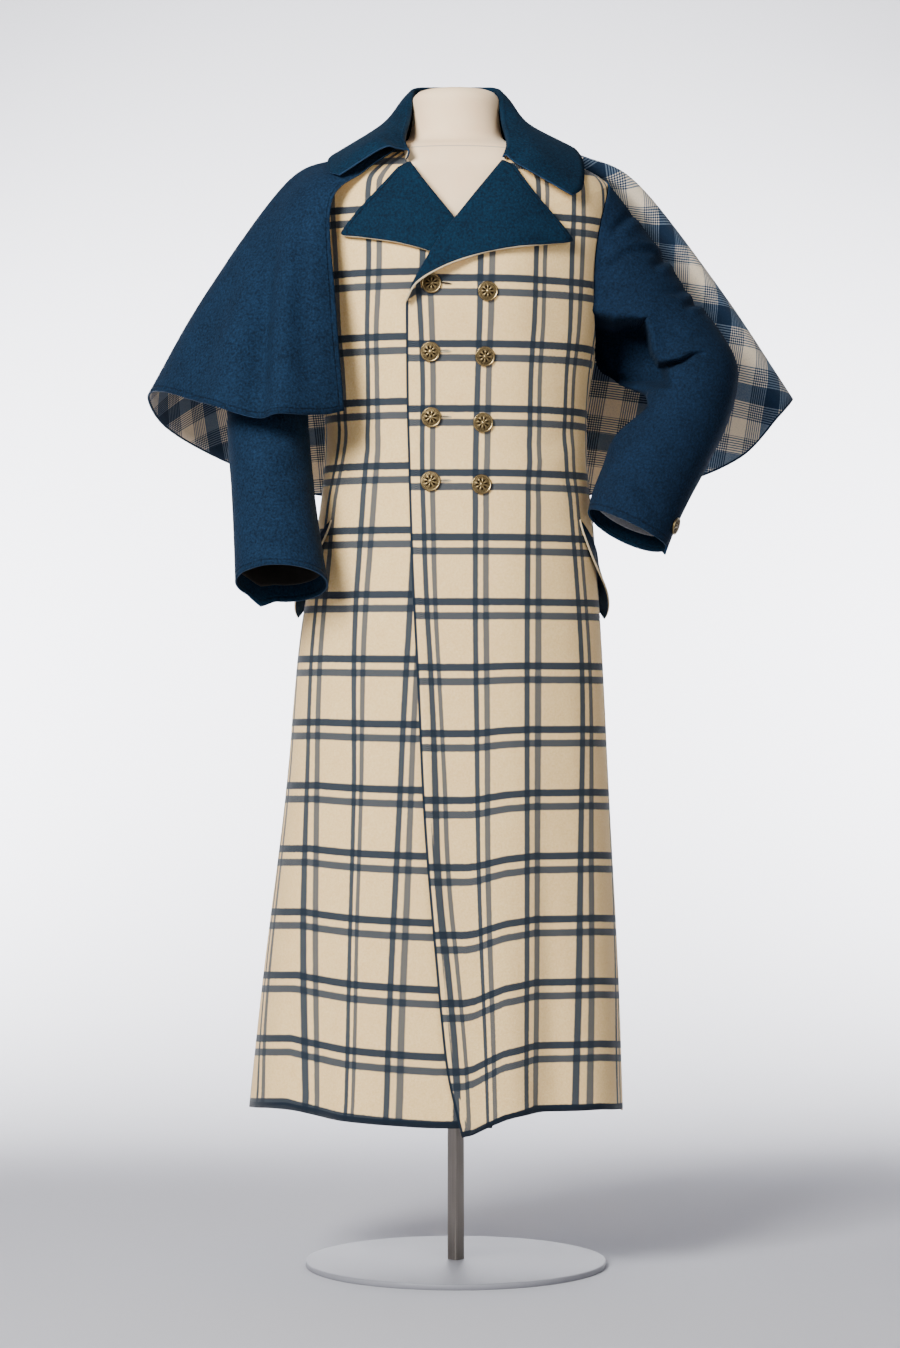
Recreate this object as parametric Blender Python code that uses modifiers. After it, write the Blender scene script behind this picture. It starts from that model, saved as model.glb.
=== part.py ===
# Caped overcoat on a limbless dress form with a pole stand.
# Metres, +Z up. The origin is the underside centre of the base plate, and the coat faces -Y.
# The wearer's left is at +X. Every cloth piece is a wall of WALL around the middle surface given here.

import bpy
import bmesh
import math
import numpy as np
from mathutils import Vector

# Driving sizes
WALL = 0.0024            # heavy double-faced wool
SEAM = 0.0003            # space between two pieces at a seam
LAYER = WALL + 0.0006    # step from one cloth layer to the next
OVERLAP = WALL + 0.0020  # step where the left front lies over the right one
SEAM_EASE = SEAM / 2 + 0.0001   # how far each panel's edge stays back from its seam
ROUND = 2.3              # squareness of the body's rings, 2 is an ellipse

FRONT_COLUMNS = 11
FOLD_COLUMNS = 3
CROWD = 1.25             # above 1, the front's columns lie closer together toward the roll line
SIDE_ROWS = 13
ARMHOLE_ROWS = 9
SHOULDER_ROWS = 4
BACK_COLUMNS = 18
SLEEVE_COLUMNS = 2 * ARMHOLE_ROWS
SLEEVE_ROWS = 16

# Rings of the worn coat: height, centre x, half width, depth in front, depth behind
BODY = (
    (0.190, -0.027, 0.2490, 0.200, 0.205),
    (0.380, -0.020, 0.2360, 0.184, 0.186),
    (0.633, -0.011, 0.2140, 0.163, 0.160),
    (0.833, -0.007, 0.2000, 0.148, 0.143),
    (1.000, 0.000, 0.1810, 0.133, 0.122),
    (1.087, 0.000, 0.1730, 0.127, 0.113),
    (1.173, 0.000, 0.1770, 0.130, 0.115),
    (1.239, 0.000, 0.1870, 0.135, 0.121),
    (1.331, 0.000, 0.1970, 0.134, 0.127),
    (1.395, 0.000, 0.2050, 0.121, 0.119),
    (1.425, 0.000, 0.2060, 0.110, 0.110),
    (1.442, 0.000, 0.1990, 0.101, 0.103),
    (1.456, 0.000, 0.1750, 0.093, 0.096),
    (1.470, 0.000, 0.1410, 0.084, 0.088),
    (1.490, 0.000, 0.0980, 0.072, 0.076),
    (1.505, 0.000, 0.0730, 0.063, 0.067),
    (1.530, 0.000, 0.0640, 0.059, 0.060),
)

# Soft skirt folds: angle round from the front, half angle, depth, height where each one starts
SKIRT_FOLDS = (
    (-62.0, 16.0, 0.006, 0.90),
    (-38.0, 10.0, -0.010, 0.75),
    (-23.0, 9.0, 0.007, 0.80),
    (21.0, 8.0, 0.006, 0.70),
    (34.0, 9.0, -0.012, 0.85),
    (58.0, 13.0, 0.008, 0.90),
    (112.0, 10.0, 0.010, 0.90),
    (135.0, 9.0, -0.012, 0.95),
    (158.0, 9.0, 0.012, 1.00),
    (180.0, 7.0, -0.014, 1.00),
    (202.0, 9.0, 0.012, 1.00),
    (225.0, 9.0, -0.012, 0.95),
    (248.0, 10.0, 0.010, 0.90),
)

# Hem height by angle round from the front
HEM = ((-180.0, 0.206), (-90.0, 0.213), (-50.0, 0.225), (-25.0, 0.214), (0.0, 0.207), (180.0, 0.206))
HEM_LEFT = (
    (5.5, 0.195), (8.3, 0.198), (12.0, 0.206), (17.0, 0.216), (28.0, 0.225), (55.0, 0.222), (90.0, 0.210),
)

# Armhole, on the body's surface
ARMHOLE_TOP = 1.445
ARMHOLE_BOTTOM = 1.220
ARMHOLE_FRONT = 0.062
ARMHOLE_BACK = 0.072
ARMHOLE_EASE = 0.0010
NECK_SIDE = 1.500
# Height of the seam at the neck by angle round from the front
NECKLINE = ((18.0, 1.455), (28.0, 1.475), (43.0, 1.490), (60.0, 1.4965), (90.0, 1.500), (180.0, 1.507))

# Front edge of the wearer's left front and its roll line above the break: height, x
BREAK_HEIGHT = 1.265
EDGE_STRIP = 0.012
EDGE_LEFT = (
    (0.196, 0.007), (0.284, -0.013), (0.384, -0.023), (0.585, -0.040), (0.775, -0.049),
    (0.954, -0.058), (1.067, -0.061), (1.195, -0.064), (1.265, -0.063),
)
EDGE_RIGHT = ((0.205, 0.046), (0.585, 0.056), (1.067, 0.061), (1.265, 0.062))

# The left front stands out up to the first x, fading in over the second length.
# It passes over the right lapel from a height up, and comes back at the neck.
OVERLAP_END, OVERLAP_FADE = 0.130, 0.060
OVER_LAPEL, OVER_LAPEL_FADE = 1.225, 0.045
OVER_NECK, OVER_NECK_FADE = 1.470, 0.060
OVER_LAPEL_EASE = 0.0010

# Lapel rows from the break up: roll x, roll height, outer edge x, outer edge height, fold angle
LAPEL = (
    (-0.0530, 1.2740, -0.0445, 1.2790, 40.0),
    (-0.0540, 1.2870, -0.0360, 1.2970, 115.0),
    (-0.0470, 1.3030, -0.0116, 1.3133, 165.0),
    (-0.0362, 1.3210, 0.0311, 1.3290, 180.0),
    (-0.0180, 1.3510, 0.0880, 1.3400, 180.0),
    (0.0000, 1.3730, 0.1360, 1.3480, 180.0),
    (0.0140, 1.3910, 0.1430, 1.3550, 180.0),
    (0.0300, 1.4110, 0.1277, 1.3778, 180.0),
    (0.0460, 1.4320, 0.0980, 1.4110, 180.0),
    (0.0615, 1.4545, 0.0750, 1.4470, 180.0),
)
LAPEL_LIFT = 0.0050
FOLD_STEP = 0.0006       # spacing of the fold's columns where the edge lies flat
LAPEL_RUNS = (0.12, 0.36, 0.66, 1.0)   # places of the lapel's columns between roll and edge
# The covered lapel's first rows lie flatter, and its tip is a little higher
LAPEL_START_UNDER = (
    (-0.0605, 1.2740, -0.0530, 1.2745, 30.0),
    (-0.0565, 1.2870, -0.0520, 1.2875, 110.0),
    (-0.0500, 1.3030, -0.0300, 1.3070, 180.0),
)
LAPEL_UNDER_RISE = 0.009
# How much each lapel stands off toward its edge, as a slope: left front, right front
LAPEL_OPEN = {1: 0.066, -1: 0.036}

# Sleeve sections: outer x, outer height, inner x, inner height, centre y, half depth
SLEEVE_LEFT = (
    (0.2600, 1.3680, 0.1960, 1.1960, 0.004, 0.077),
    (0.3110, 1.2920, 0.2230, 1.1740, -0.006, 0.077),
    (0.3480, 1.2450, 0.2480, 1.1640, -0.020, 0.072),
    (0.3725, 1.1900, 0.2560, 1.1530, -0.034, 0.069),
    (0.3600, 1.1250, 0.2430, 1.1290, -0.047, 0.065),
    (0.3320, 1.0660, 0.2090, 1.0980, -0.061, 0.061),
    (0.3060, 1.0180, 0.1930, 1.0590, -0.077, 0.058),
    (0.2860, 0.9780, 0.1800, 1.0260, -0.092, 0.054),
    (0.2750, 0.9520, 0.1740, 1.0020, -0.100, 0.053),
)
SLEEVE_RIGHT = (
    (-0.2520, 1.3800, -0.1980, 1.2190, 0.002, 0.077),
    (-0.2820, 1.2900, -0.2020, 1.1830, -0.014, 0.076),
    (-0.2970, 1.1920, -0.1990, 1.1420, -0.040, 0.070),
    (-0.2990, 1.1100, -0.1930, 1.0900, -0.074, 0.065),
    (-0.2920, 1.0300, -0.1850, 1.0200, -0.104, 0.062),
    (-0.2870, 0.9600, -0.1750, 0.9550, -0.133, 0.060),
    (-0.2840, 0.9060, -0.1660, 0.9040, -0.155, 0.059),
)
# Point of each cuff's vent: turn round the arm in degrees, half width in degrees, length
VENT = {1: (0.0, 20.0, 0.009), -1: (300.0, 20.0, 0.011)}
CUFF_LIP = {1: 0.010, -1: 0.0}   # how much further the front of each cuff reaches
LINING_START = 0.62      # where the lining that shows begins along the sleeve
LINING_END = 0.94
LINING_WALL = 0.0012
LINING_INSET = WALL / 2 + LINING_WALL / 2 + 0.0007

# Collar stations from the front end round to the centre back, for the left half:
# angle round the neck, roll x y z, middle of the fall x y z, outer edge x y z
COLLAR = (
    (19.0, 0.0640, -0.0980, 1.4700, 0.0960, -0.1160, 1.4665, 0.1520, -0.1080, 1.4290),
    (28.0, 0.0700, -0.0790, 1.4900, 0.1120, -0.0940, 1.4780, 0.1660, -0.0860, 1.4380),
    (45.0, 0.0640, -0.0400, 1.5220, 0.1080, -0.0480, 1.5000, 0.1680, -0.0460, 1.4640),
    (88.0, 0.0610, -0.0020, 1.5560, 0.0980, -0.0020, 1.5200, 0.1530, 0.0000, 1.4830),
    (118.0, 0.0560, 0.0360, 1.5730, 0.0840, 0.0480, 1.5300, 0.1270, 0.0660, 1.4830),
    (146.0, 0.0340, 0.0600, 1.5780, 0.0480, 0.0820, 1.5280, 0.0720, 0.1040, 1.4800),
    (180.0, 0.0000, 0.0680, 1.5790, 0.0000, 0.0920, 1.5300, 0.0000, 0.1160, 1.4800),
)
COLLAR_ROLL = 0.0030     # radius of the roll at the top of the stand
COLLAR_FULL = 0.30       # fall's drop at two fifths of the way to its middle
# For each station: height over the seam at the neck, slope down toward the wearer's left,
# and how much higher the edge lies over the turned cape
COLLAR_SEAT = (0.0050, 0.0036, 0.0026, 0.0026, 0.0026, 0.0026, 0.0026)
COLLAR_TILT = (0.06, 0.05, 0.02, 0.0, 0.0, 0.0, 0.0)
COLLAR_PACKED = (0.0, 0.0, 0.003, 0.008, 0.008, 0.005, 0.0)
# The wearer's left end of the fall hangs lower: drop of the line above the middle, the middle, the edge
COLLAR_DROOP = ((0.009, 0.018, 0.008), (0.004, 0.009, 0.004)) + 5 * ((0.0, 0.0, 0.0),)

# Right half of the cape, spokes from the front edge round to the centre back:
# neck angle, height from the neck seam, then shoulder x y z, middle x y z, hem x y z
CAPE_RIGHT = (
    (-34.0, -0.006, -0.1620, -0.1180, 1.4000, -0.1560, -0.1420, 1.2700, -0.1445, -0.1560, 1.1275),
    (-44.0, -0.006, -0.1780, -0.1150, 1.4020, -0.1850, -0.1500, 1.2700, -0.1700, -0.1740, 1.1215),
    (-56.0, -0.006, -0.1920, -0.1050, 1.4100, -0.2200, -0.1540, 1.2700, -0.2180, -0.1960, 1.1205),
    (-68.0, -0.006, -0.2060, -0.0860, 1.4170, -0.2580, -0.1360, 1.2750, -0.2740, -0.1780, 1.1220),
    (-78.0, -0.006, -0.2160, -0.0560, 1.4280, -0.2900, -0.0980, 1.2850, -0.3240, -0.1440, 1.1380),
    (-87.0, -0.006, -0.2240, -0.0180, 1.4400, -0.3180, -0.0480, 1.3000, -0.3900, -0.0640, 1.1600),
    (-96.0, -0.006, -0.2240, 0.0200, 1.4410, -0.3340, 0.0080, 1.2900, -0.4110, 0.0120, 1.1540),
    (-108.0, -0.006, -0.2120, 0.0620, 1.4340, -0.3180, 0.0740, 1.2800, -0.3920, 0.0960, 1.1210),
    (-124.0, -0.006, -0.1820, 0.1020, 1.4240, -0.2680, 0.1340, 1.2600, -0.3240, 0.1840, 1.0840),
    (-144.0, -0.006, -0.1240, 0.1300, 1.4220, -0.1620, 0.1720, 1.2500, -0.2120, 0.2320, 1.0420),
    (-162.0, -0.006, -0.0600, 0.1420, 1.4240, -0.0800, 0.1820, 1.2450, -0.0980, 0.2340, 1.0280),
    (-179.4, -0.006, -0.0010, 0.1440, 1.4240, -0.0010, 0.1860, 1.2450, -0.0010, 0.2440, 1.0240),
)

# How full the cape is between neck and shoulder, 0.5 is straight: right half, lower layer, roll
CAPE_SHOULDER = 0.58
CAPE_UNDER_FULL = 0.5
CAPE_ROLL_FULL = 0.66
# Height of each layer's neck edge over the coat
CAPE_LIFT = LAYER + 0.0006
CAPE_ROLL_LIFT = 2 * LAYER + 0.0020
CAPE_OVER_LIFT = 3 * LAYER + 0.0025

# Left half, thrown back: spokes from the centre back out to the roll, in the same columns
CAPE_LEFT_UNDER = (
    (179.4, -0.006, 0.0010, 0.1440, 1.4240, 0.0010, 0.1860, 1.2450, 0.0010, 0.2440, 1.0240),
    (162.0, -0.006, 0.0600, 0.1400, 1.4240, 0.0800, 0.1780, 1.2450, 0.0980, 0.2300, 1.0280),
    (144.0, -0.006, 0.1160, 0.1260, 1.4240, 0.1600, 0.1600, 1.2500, 0.1980, 0.2040, 1.0380),
    (126.0, -0.006, 0.1640, 0.0960, 1.4280, 0.2340, 0.1280, 1.2650, 0.3000, 0.1640, 1.0480),
    (112.0, -0.006, 0.2040, 0.0680, 1.4340, 0.3000, 0.0980, 1.2780, 0.3900, 0.1320, 1.0840),
    (101.0, -0.006, 0.2340, 0.0460, 1.4340, 0.3500, 0.0780, 1.2900, 0.4400, 0.1060, 1.1380),
)
# The turned-over front part, from the roll back to the cape's front edge
CAPE_LEFT_OVER = (
    (101.0, -0.010, 0.2300, 0.0700, 1.4480, 0.3480, 0.1060, 1.3080, 0.4380, 0.1480, 1.1520),
    (114.0, -0.010, 0.1960, 0.0940, 1.4480, 0.2900, 0.1320, 1.2900, 0.3760, 0.1800, 1.1080),
    (130.0, -0.010, 0.1560, 0.1220, 1.4420, 0.2140, 0.1640, 1.2700, 0.2760, 0.2140, 1.0780),
    (146.0, -0.010, 0.1100, 0.1500, 1.4380, 0.1500, 0.1900, 1.2600, 0.1800, 0.2440, 1.0800),
)
CAPE_ROLL = (92.0, -0.008, 0.2470, 0.0540, 1.4460, 0.3640, 0.0900, 1.3020, 0.4610, 0.1260, 1.1640)

# Pocket flaps: first and last angle round, first and last height
FLAP = (60.0, 106.0, 0.990, 0.905)
FLAP_DROP = 0.050
FLAP_GAPE = (0.003, 0.016)   # how far its lower edge stands off in front and behind
FLAP_CORNERS = (0.55, 0.12)  # share of the drop that the rounded corners lose, in front and behind
FLAP_SLANT = 2.0         # degrees that the lower edge is set further round
FLAP_SEAT = LAYER + 0.0002

# Buttons: height of each row, x of the two columns
BUTTON_ROWS = {"right": (1.293, 1.206, 1.121, 1.037), "left": (1.283, 1.200, 1.114, 1.033)}
BUTTON_COLUMNS = {"right": (-0.0308, -0.0326, -0.0314, -0.0323), "left": (0.0400, 0.0370, 0.0345, 0.0325)}
BUTTON_RADIUS = 0.0129
# Height of each button's flat back over the cloth's true curve, from the top row down
BUTTON_SEAT = {"right": (0.0003, 0.0008, 0.0013, 0.0008), "left": (0.0004, 0.0003, 0.0010, 0.0009)}
BUTTON_SIDES = 14
# Rings of a button: share of its radius, height as a share of its radius
BUTTON_PROFILE = ((0.86, 0.0), (1.0, 0.10), (1.0, 0.20), (0.88, 0.24), (0.55, 0.30))
CUFF_BUTTON_RADIUS = 0.0115
CUFF_BUTTON_SEAT = {"left": 0.0006, "right": -0.0003}
CUFF_BUTTON_PLACE = {"left": 0.90, "right": 0.93}   # along the sleeve
CUFF_BUTTON_STEP = 0.02    # half the length that its normal is taken over
CUFF_BUTTON_TURN = {"left": 20, "right": 330}   # degrees round the arm

# Dress form: height, ease inside the coat
FORM_EASE = (
    (0.815, 0.062), (0.850, 0.046), (0.930, 0.034), (1.000, 0.024), (1.087, 0.017), (1.200, 0.020),
    (1.331, 0.020), (1.400, 0.016), (1.436, 0.018), (1.462, 0.0042), (1.486, 0.0030),
)
FORM_NECK = (
    (1.500, 0.0640, 0.0560), (1.512, 0.0600, 0.0545), (1.535, 0.0575, 0.0530), (1.556, 0.0560, 0.0520),
)
FORM_NECK_DOME = ((1.562, 0.050, 0.0465), (1.565, 0.030, 0.0280))
FORM_COLUMNS = 32

POLE_SIDE = 0.0165
BASE_RADIUS = 0.200
BASE_THICK = 0.008

COLOURS = {
    "cream check": (0.70, 0.60, 0.45), "blue wool": (0.012, 0.052, 0.125), "grey lining": (0.45, 0.45, 0.47),
    "old brass": (0.30, 0.22, 0.10), "jersey": (0.82, 0.74, 0.64), "brushed steel": (0.45, 0.44, 0.42),
    "painted plate": (0.72, 0.72, 0.72),
}


def table_value(rows, at, column):
    keys = [row[0] for row in rows]
    return float(np.interp(at, keys, [row[column] for row in rows]))


def smooth_value(rows, at, column):
    # Cubic through the rows, with slopes taken from the neighbours
    keys = [row[0] for row in rows]
    values = [row[column] for row in rows]
    at = min(max(at, keys[0]), keys[-1])
    k = min(max(int(np.searchsorted(keys, at)) - 1, 0), len(keys) - 2)
    step = keys[k + 1] - keys[k]
    t = (at - keys[k]) / step
    low = max(k - 1, 0)
    high = min(k + 2, len(keys) - 1)
    slope_a = (values[k + 1] - values[low]) / (keys[k + 1] - keys[low]) * step
    slope_b = (values[high] - values[k]) / (keys[high] - keys[k]) * step
    a = values[k] * (2 * t**3 - 3 * t**2 + 1) + slope_a * (t**3 - 2 * t**2 + t)
    b = values[k + 1] * (-2 * t**3 + 3 * t**2) + slope_b * (t**3 - t**2)
    return a + b


def ring_sizes(height):
    return [smooth_value(BODY, height, column) for column in (1, 2, 3, 4)]


def skirt_fold(angle, height):
    total = 0.0
    for centre, half, depth, start in SKIRT_FOLDS:
        away = (angle - centre + 180.0) % 360.0 - 180.0
        if height < start:
            grow = ((start - height) / (start - 0.2)) ** 1.3
            total += depth * grow * math.exp(-((away / half) ** 2))
    return total


def body_plain(angle, height):
    centre, half, front, behind = ring_sizes(height)
    turn = math.radians(angle)
    side, ahead = math.sin(turn), math.cos(turn)
    depth = front if ahead > 0 else behind
    x = centre + half * math.copysign(abs(side) ** (2 / ROUND), side)
    y = -depth * math.copysign(abs(ahead) ** (2 / ROUND), ahead)
    return np.array((x, y, height))


def body_normal(angle, height):
    across = body_plain(angle + 0.6, height) - body_plain(angle - 0.6, height)
    up = body_plain(angle, height + 0.003) - body_plain(angle, height - 0.003)
    normal = np.cross(across, up)
    return normal / np.linalg.norm(normal)


def body_point(angle, height, out=0.0):
    # A point of the coat's body, out along its own normal
    out = out + skirt_fold(angle, height)
    return body_plain(angle, height) + body_normal(angle, height) * out


def angle_at(x, height):
    # Angle round the body of a point of its front at x
    centre, half, front, behind = ring_sizes(height)
    share = min(max((x - centre) / half, -0.999), 0.999)
    return math.degrees(math.asin(math.copysign(abs(share) ** (ROUND / 2), share)))


def armhole_angle(height, front):
    # Angle round the body where the armhole's edge lies at this height
    middle = (ARMHOLE_TOP + ARMHOLE_BOTTOM) / 2
    reach = (ARMHOLE_TOP - ARMHOLE_BOTTOM) / 2
    share = max(0.0, 1.0 - ((height - middle) / reach) ** 2)
    depth_out = (ARMHOLE_FRONT if front else ARMHOLE_BACK) * math.sqrt(share)
    depth = ring_sizes(height)[2 if front else 3]
    lean = math.degrees(math.asin((depth_out / depth) ** (ROUND / 2)))
    return 90.0 - lean if front else 90.0 + lean


def side_rows(hem, front):
    # Angle and height of each row's outer end: side seam, armhole, then the shoulder seam
    rows = []
    for k in range(SIDE_ROWS):
        rows.append((90.0, hem + (ARMHOLE_BOTTOM - hem) * k / SIDE_ROWS))
    middle = (ARMHOLE_TOP + ARMHOLE_BOTTOM) / 2
    reach = (ARMHOLE_TOP - ARMHOLE_BOTTOM) / 2
    for k in range(ARMHOLE_ROWS):
        height = middle - reach * math.cos(math.pi * k / ARMHOLE_ROWS)
        rows.append((armhole_angle(height, front), height))
    for k in range(SHOULDER_ROWS + 1):
        rows.append((90.0, ARMHOLE_TOP + (NECK_SIDE - ARMHOLE_TOP) * k / SHOULDER_ROWS))
    return rows


def seam_angle(height, ease):
    # The turn that moves a seam's edge by a few tenths of a millimetre
    return math.degrees(ease / ring_sizes(height)[2])


def overlap_step(x, height):
    # How far the left front stands out over the right front and its lapel
    cover = min(max((OVERLAP_END - x) / OVERLAP_FADE, 0.0), 1.0)
    cover = cover * cover * (3 - 2 * cover)
    high = min(max((height - OVER_LAPEL) / OVER_LAPEL_FADE, 0.0), 1.0)
    low = min(max((OVER_NECK - height) / OVER_NECK_FADE, 0.0), 1.0)
    return cover * (OVERLAP * low + (LAPEL_LIFT + OVER_LAPEL_EASE) * high * low)


def front_rows(sign):
    # Roll line and lapel edge of each row, as x, height, edge x, edge height, fold angle
    edge = EDGE_LEFT if sign > 0 else EDGE_RIGHT
    hem = edge[0][0]
    rows = []
    below = SIDE_ROWS + 1
    for k in range(below):
        height = hem + (BREAK_HEIGHT - hem) * k / (below - 1)
        edge_x = smooth_value(edge, height, 1)
        inset = EDGE_STRIP if sign > 0 else -EDGE_STRIP
        rows.append((edge_x + inset, height, edge_x + 2 * inset, height, 0.0))
    lapel = LAPEL if sign > 0 else LAPEL_START_UNDER + LAPEL[len(LAPEL_START_UNDER):]
    for k, (roll_x, roll_z, out_x, out_z, fold) in enumerate(lapel):
        covered = sign < 0 and k < len(lapel) - 1
        rise = LAPEL_UNDER_RISE * min(max((k - 2) / 2, 0.0), 1.0) if covered else 0.0
        rows.append((sign * roll_x, roll_z, sign * out_x, out_z + rise, fold))
    return rows


def front_point(sign, x, height, out):
    step = overlap_step(x, height) if sign > 0 else 0.0
    return body_point(angle_at(x, height), height, out + step)


def neck_pull(t):
    # How far the seam at the neck lies from the straight line between its two ends
    first, last = NECKLINE[-2], NECKLINE[0]
    angle = first[0] + (last[0] - first[0]) * t
    return table_value(NECKLINE, angle, 1) - (first[1] + (last[1] - first[1]) * t)


def front_panel_points(sign):
    # Rows from the hem up, columns from the side seam to the roll line and out over the lapel
    inner = front_rows(sign)
    hem_table = HEM_LEFT if sign > 0 else HEM
    outer = side_rows(table_value(hem_table, 90.0 * sign, 1), True)
    picks = np.linspace(0, len(inner) - 1, len(outer))
    points = []
    for k, (side_angle, side_z) in enumerate(outer):
        column_values = []
        for column in range(5):
            keyed = [(index, row[column]) for index, row in enumerate(inner)]
            column_values.append(smooth_value(keyed, picks[k], 1))
        roll_x, roll_z, out_x, out_z, fold = column_values
        side_angle = side_angle - seam_angle(side_z, SEAM_EASE)
        roll_angle = sign * angle_at(roll_x, roll_z)
        above = max(0.0, (k - SIDE_ROWS - ARMHOLE_ROWS) / SHOULDER_ROWS)
        row = []
        for c in range(FRONT_COLUMNS + 1):
            t = 1 - (1 - c / FRONT_COLUMNS) ** CROWD
            angle = sign * (side_angle + (roll_angle - side_angle) * t)
            height = side_z + (roll_z - side_z) * t
            if k == 0:
                height = table_value(hem_table, angle, 1)
            height += above * neck_pull(t)
            x = body_plain(angle, height)[0]
            step = overlap_step(x, height) if sign > 0 else 0.0
            row.append(body_point(angle, height, step))
        row += lapel_points(sign, roll_x, roll_z, out_x, out_z, fold, hem_table if k == 0 else None)
        points.append(row)
    return points


def lapel_points(sign, roll_x, roll_z, out_x, out_z, fold, hem_table=None):
    # The fold and the turned-back lapel, or the flat edge strip below the break, down to the hem
    reach = math.hypot(out_x - roll_x, out_z - roll_z)
    away_x, away_z = (out_x - roll_x) / reach, (out_z - roll_z) / reach
    turn = math.radians(min(max(fold, 0.0), 180.0))
    radius = LAPEL_LIFT / 2
    row = []
    steps = [(turn * (c + 1) / FOLD_COLUMNS, 0.0) for c in range(FOLD_COLUMNS)]
    steps += [(turn, reach * share) for share in LAPEL_RUNS]
    flat = math.cos(turn / 2) ** 2
    for index, (bend, run) in enumerate(steps):
        forward = radius * math.sin(bend) + run * math.cos(turn)
        rise = radius * (1 - math.cos(bend)) + run * (math.sin(turn) + LAPEL_OPEN[sign] * turn / math.pi)
        if index < FOLD_COLUMNS:
            forward += flat * FOLD_STEP * (index + 1)
        else:
            forward += flat * FOLD_STEP * FOLD_COLUMNS * (1 - run / reach)
        x = roll_x - away_x * forward
        z = roll_z - away_z * forward
        if hem_table:
            z = table_value(hem_table, angle_at(x, z), 1)
        row.append(front_point(sign, x, z, rise))
    return row


def back_panel_points():
    left = side_rows(table_value(HEM_LEFT, 90.0, 1), False)
    right = side_rows(table_value(HEM, -90.0, 1), False)
    points = []
    for k in range(len(left)):
        start_angle, start_z = left[k]
        end_angle, end_z = right[k]
        ease = seam_angle(start_z, SEAM_EASE)
        start, end = start_angle + ease, 360.0 - end_angle - ease
        row = []
        for c in range(BACK_COLUMNS + 1):
            t = c / BACK_COLUMNS
            angle = start + (end - start) * t
            height = start_z + (end_z - start_z) * t
            above = max(0.0, (k - SIDE_ROWS - ARMHOLE_ROWS) / SHOULDER_ROWS)
            round_from_front = min(angle, 360.0 - angle)
            height += above * (table_value(NECKLINE, round_from_front, 1) - height)
            if k == 0:
                height = table_value(HEM, angle - 360.0 if angle > 180.0 else angle, 1)
            row.append(body_point(angle, height))
        points.append(row)
    return points


def armhole_point(sign, turn):
    # Middle of the seam between the body and the sleeve, moved out so that the walls stay apart
    middle = (ARMHOLE_TOP + ARMHOLE_BOTTOM) / 2
    reach = (ARMHOLE_TOP - ARMHOLE_BOTTOM) / 2
    height = middle + reach * math.cos(turn)
    front = math.sin(turn) > 0
    angle = sign * armhole_angle(height, front)
    normal = body_normal(angle, height)
    out = SEAM + ARMHOLE_EASE + WALL / 2 * abs(normal[0])
    return body_plain(angle, height) + np.array((sign * out, 0.0, 0.0))


def curve_between(points, t):
    # Smooth curve through a list of points, t from 0 to 1
    at = t * (len(points) - 1)
    k = min(int(at), len(points) - 2)
    u = at - k
    a, b = points[k], points[k + 1]
    before = points[k - 1] if k > 0 else 2 * a - b
    after = points[k + 2] if k + 2 < len(points) else 2 * b - a
    return 0.5 * (2 * a + (b - before) * u + (2 * before - 5 * a + 4 * b - after) * u**2
                  + (3 * a - before - 3 * b + after) * u**3)


def vent_reach(sign, turn):
    centre, half, length = VENT[sign]
    away = abs((math.degrees(turn) - centre + 180.0) % 360.0 - 180.0)
    return length * max(0.0, 1.0 - away / half) + CUFF_LIP[sign] * max(0.0, math.sin(turn))


def sleeve_sections(sign, rows, columns, inward=0.0):
    # Rings from the armhole to the cuff, each a list of points round the arm
    turns = [2 * math.pi * c / columns for c in range(columns)]
    sections = [[armhole_point(sign, turn) for turn in turns]]
    middles = [np.array(((r[0] + r[2]) / 2, r[4], (r[1] + r[3]) / 2)) for r in rows]
    start = np.array((sign * 0.19, 0.0, (ARMHOLE_TOP + ARMHOLE_BOTTOM) / 2))
    for k, row in enumerate(rows):
        across = np.array((row[0] - row[2], 0.0, row[1] - row[3])) / 2
        before = middles[k - 1] if k > 0 else start
        after = middles[k + 1] if k + 1 < len(rows) else 2 * middles[k] - middles[k - 1]
        along = (after - before) / np.linalg.norm(after - before)
        across_unit = across / np.linalg.norm(across)
        depth = np.cross(along, across_unit)
        depth = depth / np.linalg.norm(depth)
        if depth[1] > 0:
            depth = -depth
        wide = np.linalg.norm(across) - inward
        deep = row[5] - inward
        ring = []
        for turn in turns:
            point = middles[k] + across_unit * wide * math.cos(turn) + depth * deep * math.sin(turn)
            if k + 1 == len(rows):
                point = point + along * vent_reach(sign, turn)
            ring.append(point)
        sections.append(ring)
    return sections


def sleeve_points(sign, rows, first=0.0, last=1.0, count=SLEEVE_ROWS, inward=0.0):
    sections = sleeve_sections(sign, rows, SLEEVE_COLUMNS, inward)
    points = []
    for k in range(count + 1):
        t = first + (last - first) * k / count
        ring = [curve_between([s[c] for s in sections], t) for c in range(SLEEVE_COLUMNS)]
        points.append(ring + [ring[0]])
    return points


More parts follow.
